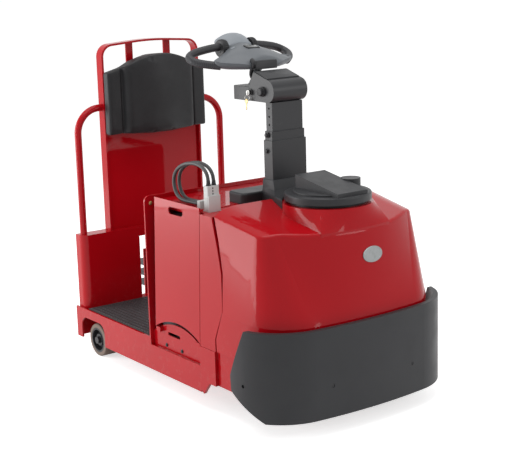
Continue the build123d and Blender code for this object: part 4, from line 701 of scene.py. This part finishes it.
class TRACTOR_OT_leads(bpy.types.Operator):
    """Makes the two battery leads that loop from the connector to the battery gland"""

    bl_idname = "tractor.leads"
    bl_label = "Battery leads"

    route = (
        (246, 849), (246, 872), (236, 896), (212, 914), (174, 922), (132, 921), (88, 912), (50, 896),
        (22, 874), (9, 848), (9, 818), (22, 790), (48, 773), (82, 768.5), (128, 771), (184, 771))

    rows = (("right", -324), ("left", -300))

    def execute(self, context):
        for side, y in self.rows:
            line = [(x, y, z) for x, z in self.route]
            lead = add_bar(
                "battery_lead_" + side, line, sizes().lead_diameter / 2, "jacket", chassis,
                sides=5, steps=12, capped=False)
            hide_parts("battery_leads")
        bm = bmesh.new()
        for _, y in self.rows:
            for x, z, outward in ((246, 847, (0, 0, 1)), (186, 771, (-1, 0, 0))):
                self.add_boot(bm, facing((x * mm, y * mm, z * mm), outward))
        mesh_piece("lead_boots", bm, "knob", chassis)
        return {"FINISHED"}

    def add_boot(self, bm, place):
        """Tapered rubber boot with two ribs."""
        wide = 9.6 * mm
        narrow = 7.4 * mm
        height = 20 * mm
        profile = (
            (0.0, wide), (0.22, wide), (0.26, wide * 0.88), (0.42, wide * 0.92), (0.46, wide * 0.80),
            (0.62, wide * 0.86), (0.66, narrow * 1.02), (1.0, narrow))
        loft(bm, [round_ring(place, radius, level * height) for level, radius in profile], 20)


class TRACTOR_OT_mat(bpy.types.Operator):
    """Makes the raised square studs of the platform mat"""

    bl_idname = "tractor.mat"
    bl_label = "Mat studs"

    def execute(self, context):
        low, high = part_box("platform_mat")
        pitch = sizes().stud_pitch
        border = 7 * mm
        length = high.x - low.x - 2 * border
        width = high.y - low.y - 2 * border
        bm = bmesh.new()
        bmesh.ops.create_grid(
            bm, x_segments=round(length / pitch), y_segments=round(width / pitch), size=0.5)
        bmesh.ops.scale(bm, verts=bm.verts, vec=(length, width, 1))
        bmesh.ops.translate(
            bm, verts=bm.verts, vec=((low.x + high.x) / 2, (low.y + high.y) / 2, high.z + 0.15 * mm))
        squares = bm.faces[:]
        bmesh.ops.inset_individual(bm, faces=squares, thickness=2.6 * mm)
        bmesh.ops.inset_individual(bm, faces=squares, thickness=1.2 * mm, depth=sizes().stud_rise)
        mesh_piece("mat_studs", bm, "mat", chassis, smooth=False)
        return {"FINISHED"}


class TRACTOR_OT_fasteners(bpy.types.Operator):
    """Makes the bumper screws, mast bolts, bracket bolts and bulkhead bolts"""

    bl_idname = "tractor.fasteners"
    bl_label = "Fasteners"

    def execute(self, context):
        nodes = frame["nodes"]
        bumper_front = 790.4 * mm
        bm = bmesh.new()
        for y in (-190, 190):
            self.add_screw(bm, facing((bumper_front, y * mm, 184 * mm), (1, 0, 0)))
        for side in (-1, 1):
            place, outward = on_surface(nodes["bumper"], (632 * mm, side * 0.6, 195 * mm), (0, -side, 0))
            self.add_screw(bm, facing((612 * mm, place.y, 195 * mm), outward))
        mesh_piece("bumper_screws", bm, "knob", chassis)

        bm = bmesh.new()
        for side in (-1, 1):
            for z in (1016, 956):
                seat = facing((292 * mm, side * 81 * mm, z * mm), (0, side, 0))
                add_hex_bolt(bm, seat, 7.5 * mm, 8 * mm)
        mesh_piece("mast_bolts", bm, "knob", chassis)

        bm = bmesh.new()
        for side in (-1, 1):
            for x in (2, 112):
                start = (x * mm, side * 0.6, 187 * mm)
                place, outward = on_surface(nodes["gate_brackets"], start, (0, -side, 0))
                add_hex_bolt(bm, facing(place, outward), 5.5 * mm, 5 * mm)
        mesh_piece("bracket_bolts", bm, "coat", chassis)

        bm = bmesh.new()
        for side in (-1, 1):
            start = (-20 * mm, side * 372 * mm, 742 * mm)
            place, outward = on_surface(nodes["bulkhead"], start, (-1, 0, 0))
            add_hex_bolt(bm, facing(place, outward), 5.5 * mm, 5 * mm)
        mesh_piece("bulkhead_bolts", bm, "gold", chassis)
        return {"FINISHED"}

    def add_screw(self, bm, place):
        """Low round head, let in flush with the bumper."""
        rise = 2.6 * mm
        add_puck(bm, place, 6.0 * mm, rise, 20, 0.9 * mm, sunk=rise)


class TRACTOR_OT_hood_trim(bpy.types.Operator):
    """Makes the blank oval badge on the nose"""

    bl_idname = "tractor.hood_trim"
    bl_label = "Hood trim"

    def execute(self, context):
        hood = frame["nodes"]["hood"]
        place, outward = on_surface(hood, (1.2, 50 * mm, 614 * mm), (-1, 0, 0))
        width = sizes().badge_width
        seat = facing(place, outward)
        bm = bmesh.new()
        add_puck(bm, seat, width / 2, 3.2 * mm, 56, 1.4 * mm, oval=0.60, sunk=1.4 * mm)
        crown = max(bm.faces, key=lambda f: f.calc_area() if f.normal.dot(outward) > 0.9 else 0)
        bmesh.ops.inset_region(bm, faces=[crown], thickness=3.2 * mm)
        bmesh.ops.inset_region(bm, faces=[crown], thickness=0.9 * mm, depth=-0.9 * mm)
        mesh_piece("nose_badge", bm, "badge", chassis)
        return {"FINISHED"}


class TRACTOR_OT_head(bpy.types.Operator):
    """Makes the head's blank plate, block sleeve, knob, lock and keys"""

    bl_idname = "tractor.head"
    bl_label = "Steering head details"

    def execute(self, context):
        low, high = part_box("steering_head")
        self.add_plate()
        self.add_block(low, high)
        self.add_knob(low.y)
        self.add_lock(low.y)
        return {"FINISHED"}

    def add_plate(self):
        place, outward = on_surface(frame["nodes"]["steering_head"], (257 * mm, 0, 1.4), (0, 0, -1))
        seat = facing(place, outward, (1, 0, 0))
        bm = bmesh.new()
        add_slab(bm, seat, 150 * mm, 82 * mm, 4.5 * mm, 3 * mm, 1.2 * mm, sunk=0.5 * mm)
        mesh_piece("head_plate", bm, "charcoal", chassis)

    def add_block(self, low, high):
        """Sleeve round the head's rear block, out to the full width of the head."""
        rear = low.x - 0.8 * mm
        front = 186 * mm
        seat = Matrix.Translation(((rear + front) / 2, 0, low.z - 0.6 * mm))
        bm = bmesh.new()
        add_slab(bm, seat, front - rear, high.y - low.y + 0.6 * mm, 53.4 * mm, 5 * mm, 2 * mm)
        mesh_piece("head_block", bm, "mast_coat", chassis)

    def add_knob(self, face):
        seat = facing((270 * mm, face, 1178 * mm), (0, -1, 0))
        bm = bmesh.new()
        add_puck(bm, seat, 19 * mm, 7 * mm, 40, 2 * mm)
        add_puck(bm, seat @ Matrix.Translation((0, 0, 5 * mm)), 16 * mm, 13 * mm, 40, 4 * mm)
        head_knob = mesh_piece("head_knob_turned", bm, "knob", chassis)
        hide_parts("head_knob")

    def add_lock(self, face):
        """Lock with its key, a ring, and a spare key that hangs from it."""
        outward = Vector((0, -1, 0))
        x = 194 * mm
        z = 1172 * mm
        bm = bmesh.new()
        add_puck(bm, facing((x, face, z), outward), 12.5 * mm, 4 * mm, 32, 1.5 * mm)
        lock = mesh_piece("lock_collar", bm, "knob", chassis)
        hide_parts("key_switch")

        upright = Matrix.Rotation(math.pi / 2, 4, "X")
        turned = Matrix.Rotation(math.radians(70), 4, "Z") @ upright
        bow = Matrix.Translation((x, face - 14 * mm, z - 2 * mm))
        hanging = Matrix.Translation((x - 3 * mm, face - 15 * mm, z - 21 * mm))
        bm = bmesh.new()
        add_puck(bm, facing((x, face + 1 * mm, z), outward), 9.5 * mm, 5 * mm, 28, 1.2 * mm)
        add_slab(bm, facing((x, face - 4 * mm, z), outward), 3 * mm, 12 * mm, 14 * mm, 0.8 * mm, 0.6 * mm)
        add_ring(bm, bow @ upright, 8 * mm, 2.4 * mm, 30, 8)
        add_ring(bm, hanging @ turned, 9 * mm, 1.1 * mm, 36, 8)
        mesh_piece("lock_key", bm, "steel", chassis)

        spare = Vector((x - 7 * mm, face - 15 * mm, z - 34 * mm))
        blade = spare + Vector((-1 * mm, 0, -20 * mm))
        bm = bmesh.new()
        add_puck(bm, facing(spare, outward), 9 * mm, 2.2 * mm, 24, 0.5 * mm)
        add_slab(bm, facing(blade, outward), 5 * mm, 28 * mm, 2 * mm, 1 * mm, 0.4 * mm)
        mesh_piece("spare_key", bm, "gold", chassis)


class TRACTOR_OT_handle(bpy.types.Operator):
    """Makes the sculpted steering handle with its hand loops, display, buttons and thumb wheels"""

    bl_idname = "tractor.handle"
    bl_label = "Steering handle"

    # Each section: place along the handle, half width, lowest and highest point, droop at the sides.
    shell_sections = (
        (-58, 46, 1330, 1352, 6), (-30, 50, 1318, 1356, 8), (0, 54, 1302, 1352, 10), (28, 68, 1284, 1346, 18),
        (58, 122, 1264, 1341, 38), (84, 167, 1254, 1337, 58), (104, 186, 1253, 1332, 61),
        (126, 177, 1253, 1325, 56), (146, 146, 1253, 1316, 44), (164, 112, 1253, 1308, 32),
        (174, 96, 1254, 1303, 26), (182, 78, 1258, 1290, 18), (187, 62, 1264, 1276, 6))

    cap_sections = (
        (-72, 50, 1336, 1352, 6), (-64, 66, 1332, 1368, 12), (-44, 74, 1326, 1385, 16),
        (-18, 68, 1316, 1383, 14), (4, 58, 1314, 1371, 10), (20, 57, 1320, 1354, 8), (28, 54, 1328, 1345, 4))

    grip_line = (
        (-6, 70, 1334), (-6, 110, 1331), (-8, 160, 1324), (-10, 198, 1316), (-5, 224, 1305), (16, 233, 1294),
        (44, 224, 1285), (76, 198, 1277), (112, 158, 1271))

    arm_line = (
        (178, -58, 1290), (194, -62, 1284), (194, -61, 1269), (170, -51, 1261), (148, -42, 1240),
        (134, -30, 1222), (126, -16, 1211))

    # Each station of the neck: height, place along the handle, radius.
    neck_stations = (
        (1196.6, 122, 27), (1203, 122, 26), (1210, 120, 20), (1226, 120, 18), (1242, 123, 20),
        (1254, 126, 28), (1266, 127, 34))

    def execute(self, context):
        shield = self.add_moulding("handle_shell", self.shell_sections, 32, "shell", "handle_grey")
        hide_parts("handle_shield")
        cap = self.add_moulding("handle_hood", self.cap_sections, 24, "cap", "light_grey")
        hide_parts("handle_cap")
        for side, name in ((-1, "right"), (1, "left")):
            line = [(x, side * y, z) for x, y, z in self.grip_line]
            grip = add_bar("hand_loop_" + name, line, 15.5 * mm, "grip", handle)
            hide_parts("handle_grip_" + name)
        add_bar("column_arm", self.arm_line, 8 * mm, "knob", handle)
        self.add_nose()
        self.add_neck()
        self.add_controls(shield)
        self.add_thumb_wheels()
        return {"FINISHED"}

    def add_moulding(self, name, sections, sides, coat, slot):
        bm = bmesh.new()
        loft(bm, [self.ring(*section) for section in sections], sides)
        moulded = mesh_piece(name, bm, coat, handle)
        round_off(moulded, 2)
        return moulded

    def ring(self, x, half, low, high, droop):
        """Ring of a loft across the handle: arched above, nearly flat below."""
        middle = (low + high) / 2
        rise = (high - low) / 2

        def place(a, b):
            side = math.copysign(abs(a) ** (0.8 if b > 0 else 0.4), a)
            level = math.copysign(abs(b) ** 0.75, b)
            z = middle + rise * level
            if level > 0:
                z -= droop * side * side * level
            z = max(z, low)
            return Vector((x * mm, half * side * mm, z * mm))

        return place

    def add_nose(self):
        """Black face under the front edge of the shell: painted shade for the shell's shaded steep front
        face.
        """
        seat = Matrix.Translation((156 * mm, 0, 1253.5 * mm))
        bm = bmesh.new()
        # The black slab is painted shade: it stands for the shell's front face in shadow.
        add_slab(bm, seat, 72 * mm, 108 * mm, 33 * mm, 7 * mm, 5 * mm)
        mesh_piece("handle_nose_shade", bm, "knob", handle)

    def add_neck(self):
        rings = [
            round_ring(Matrix.Translation((x * mm, 0, z * mm)), radius * mm, 0)
            for z, x, radius in self.neck_stations]
        bm = bmesh.new()
        loft(bm, rings, 32)
        mesh_piece("handle_neck", bm, "shell", handle)

    def add_controls(self, shield):
        """Display with its pane, and a button at each side of it."""
        down = (0, 0, -1)
        place, outward = on_surface(shield, (93 * mm, 4 * mm, 1.5), down)
        seat = facing(place, outward, (1, 0, 0))
        bm = bmesh.new()
        add_slab(bm, seat, 58 * mm, 36 * mm, 3.4 * mm, 4 * mm, 1.0 * mm, sunk=1.2 * mm)
        mesh_piece("display_frame", bm, "knob", handle)
        raised = seat @ Matrix.Translation((0, 0, 2.1 * mm))
        bm = bmesh.new()
        add_slab(bm, raised, 46 * mm, 24 * mm, 0.7 * mm, 2 * mm, 0.3 * mm)
        mesh_piece("display_pane", bm, "pane", handle)
        bm = bmesh.new()
        for side in (-1, 1):
            place, outward = on_surface(shield, (58 * mm, side * 60 * mm, 1.5), down)
            seat = facing(place, outward, (1, 0, 0))
            add_slab(bm, seat, 20 * mm, 12 * mm, 3.2 * mm, 4 * mm, 1.2 * mm, sunk=0.8 * mm)
        mesh_piece("handle_buttons", bm, "cap", handle)

    def add_thumb_wheels(self):
        """Thumb wheels beside the cap, ribbed round their rims."""
        centre = Vector((-3 * mm, 0, 1327 * mm))
        radius = 34 * mm
        inner = 58 * mm
        width = 25 * mm
        bm = bmesh.new()
        for side in (-1, 1):
            seat = facing((centre.x, side * inner, centre.z), (0, side, 0))
            crown = seat @ Matrix.Translation((0, 0, width - 1 * mm))
            rim = facing((centre.x + radius - 1 * mm, side * (inner + width / 2), centre.z), (1, 0, 0))
            add_puck(bm, seat, radius, width, 48, 4 * mm)
            add_puck(bm, crown, radius * 0.5, 3 * mm, 40, 1.2 * mm)
            rib = add_slab(bm, rim, width * 0.6, 3 * mm, 2.2 * mm, 0, 0.6 * mm)
            faces = list({f for v in rib for f in v.link_faces})
            bmesh.ops.spin(
                bm, geom=faces, cent=centre, axis=(0, 1, 0), angle=2 * math.pi,
                steps=sizes().wheel_ribs, use_duplicate=True, use_merge=False)
        wheels = mesh_piece("thumb_wheels_ribbed", bm, "knob", handle)
        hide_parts("thumb_wheels")


class TRACTOR_OT_connector(bpy.types.Operator):
    """Makes the contact slots and finger ribs of the battery connector"""

    bl_idname = "tractor.connector"
    bl_label = "Battery connector details"

    def execute(self, context):
        low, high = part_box("battery_connector")
        forward = (1, 0, 0)
        bm = bmesh.new()
        for step in range(5):
            slot = facing((high.x - 0.4 * mm, -315 * mm, (799 + 10.4 * step) * mm), forward)
            add_slab(bm, slot, 5 * mm, 6 * mm, 0.8 * mm, 0.8 * mm, 0.2 * mm)
        mesh_piece("connector_slots", bm, "knob", chassis)

        bm = bmesh.new()
        for step in range(6):
            rib = facing((high.x - 12 * mm, low.y + 0.2 * mm, (770 + 7 * step) * mm), (0, -1, 0))
            add_slab(bm, rib, 18 * mm, 3 * mm, 1.4 * mm, 1.0 * mm, 0.5 * mm)
        for y in (-296, -330):
            rail = facing((high.x, y * mm, 803 * mm), forward)
            add_slab(bm, rail, 3 * mm, 84 * mm, 1.6 * mm, 0.8 * mm, 0.5 * mm, sunk=0.2 * mm)
        mesh_piece("connector_ribs", bm, "pale", chassis)
        return {"FINISHED"}


class TRACTOR_OT_studio(bpy.types.Operator):
    """Makes the floor, the soft lamps, the pale surroundings and the camera"""

    bl_idname = "tractor.studio"
    bl_label = "Studio"

    def execute(self, context):
        scene = context.scene
        self.make_floor()
        self.make_surroundings(scene)
        self.make_lamp("overhead", (0.3, -0.4, 4.6), (0.1, 0.0, 0.4), 3.6, 3.6, 105)
        self.make_lamp("side_card", (-2.7, -3.5, 1.3), (-0.1, -0.1, 0.7), 3.2, 2.6, 140)
        self.make_lamp("front_card", (4.6, 2.6, 2.4), (0.2, 0.0, 0.6), 2.2, 2.2, 60)
        self.make_camera(scene)
        scene.view_settings.view_transform = "Standard"
        return {"FINISHED"}

    def make_floor(self):
        bm = bmesh.new()
        bmesh.ops.create_grid(bm, x_segments=1, y_segments=1, size=60.0)
        mesh = bpy.data.meshes.new("floor")
        bm.to_mesh(mesh)
        bm.free()
        floor = bpy.data.objects.new("floor", mesh)
        bpy.context.scene.collection.objects.link(floor)
        white = Finish("studio_floor", Roughness=0.9, Specular_IOR_Level=0.1)
        white.set("Base Color", (0.90, 0.90, 0.90))
        lit = Value(white, white.shader.outputs[0])
        glow = white.node("ShaderNodeEmission", {}, {"Color": (1, 1, 1), "Strength": 0.64})
        lifted = white.node("ShaderNodeAddShader", {}, {0: lit, 1: glow})
        shown = white.node("ShaderNodeMixShader", {}, {0: white.background_rays(), 1: lit, 2: lifted})
        white.put(white.tree.nodes["Material Output"].inputs["Surface"], shown)
        mesh.materials.append(white.material)

    def make_surroundings(self, scene):
        """Soft light on the object, and plain white wherever the surroundings are seen."""
        world = bpy.data.worlds.new("studio")
        scene.world = world
        world.use_nodes = True
        sky = Nodes(world.node_tree)
        sky.tree.nodes.remove(sky.tree.nodes["Background"])
        ambient = sky.node("ShaderNodeBackground", {}, {"Color": (1, 1, 1), "Strength": 0.42})
        white = sky.node("ShaderNodeBackground", {}, {"Color": (1, 1, 1), "Strength": 1.0})
        shown = sky.node("ShaderNodeMixShader", {}, {0: sky.background_rays(), 1: ambient, 2: white})
        sky.put(sky.tree.nodes["World Output"].inputs["Surface"], shown)

    def make_lamp(self, name, place, target, width, height, power):
        light = bpy.data.lights.new(name, "AREA")
        light.shape = "RECTANGLE"
        light.size = width
        light.size_y = height
        light.energy = power
        lamp = bpy.data.objects.new(name, light)
        bpy.context.scene.collection.objects.link(lamp)
        lamp.location = place
        lamp.rotation_euler = (Vector(target) - Vector(place)).to_track_quat("-Z", "Y").to_euler()

    def make_camera(self, scene):
        """Camera fitted to the picture: angles, focal length and centre in its pixels."""
        azimuth = math.radians(53.910)
        rise = math.radians(12.033)
        roll = -0.029
        focal = 1262.875
        picture = (520, 460)
        centre = (257.396, 219.023)
        away = Vector((math.sin(azimuth), -math.cos(azimuth), 0))
        back = away * math.cos(rise) + Vector((0, 0, math.sin(rise)))
        level = Vector((math.cos(azimuth), math.sin(azimuth), 0))
        upward = back.cross(level)
        right = level * math.cos(roll) + upward * math.sin(roll)
        up = upward * math.cos(roll) - level * math.sin(roll)
        lens = bpy.data.cameras.new("camera")
        lens.sensor_width = 36
        lens.lens = 36 * focal / picture[0]
        lens.shift_x = (picture[0] / 2 - centre[0]) / picture[0]
        lens.shift_y = (centre[1] - picture[1] / 2) / picture[0]
        lens.clip_end = 100
        camera = bpy.data.objects.new("camera", lens)
        scene.collection.objects.link(camera)
        turn = Matrix((right, up, back)).transposed().to_4x4()
        camera.matrix_world = Matrix.Translation((4.071, -2.892, 1.699)) @ turn
        scene.camera = camera


class TRACTOR_PT_panel(bpy.types.Panel):
    """Lists the tow tractor's pieces"""

    bl_idname = "TRACTOR_PT_panel"
    bl_label = "Tow Tractor"
    bl_space_type = "VIEW_3D"
    bl_region_type = "UI"
    bl_category = "Tow Tractor"

    def draw(self, context):
        for group in (colours(), sizes()):
            for name in group.__annotations__:
                self.layout.prop(group, name)
        for operator in operators:
            self.layout.operator(operator.bl_idname)


operators = (
    TRACTOR_OT_studio, TRACTOR_OT_finishes, TRACTOR_OT_leads, TRACTOR_OT_backrest, TRACTOR_OT_mat,
    TRACTOR_OT_fasteners, TRACTOR_OT_hood_trim, TRACTOR_OT_head, TRACTOR_OT_handle, TRACTOR_OT_connector)
classes = (TractorColours, TractorSizes, *operators, TRACTOR_PT_panel)


def register():
    for item in classes:
        bpy.utils.register_class(item)
    bpy.types.Scene.tractor_colours = PointerProperty(type=TractorColours)
    bpy.types.Scene.tractor_sizes = PointerProperty(type=TractorSizes)


def unregister():
    del bpy.types.Scene.tractor_sizes
    del bpy.types.Scene.tractor_colours
    for item in reversed(classes):
        bpy.utils.unregister_class(item)


def main():
    register()
    for operator in operators:
        group, action = operator.bl_idname.split(".")
        getattr(getattr(bpy.ops, group), action)()


if __name__ == "__main__":
    main()
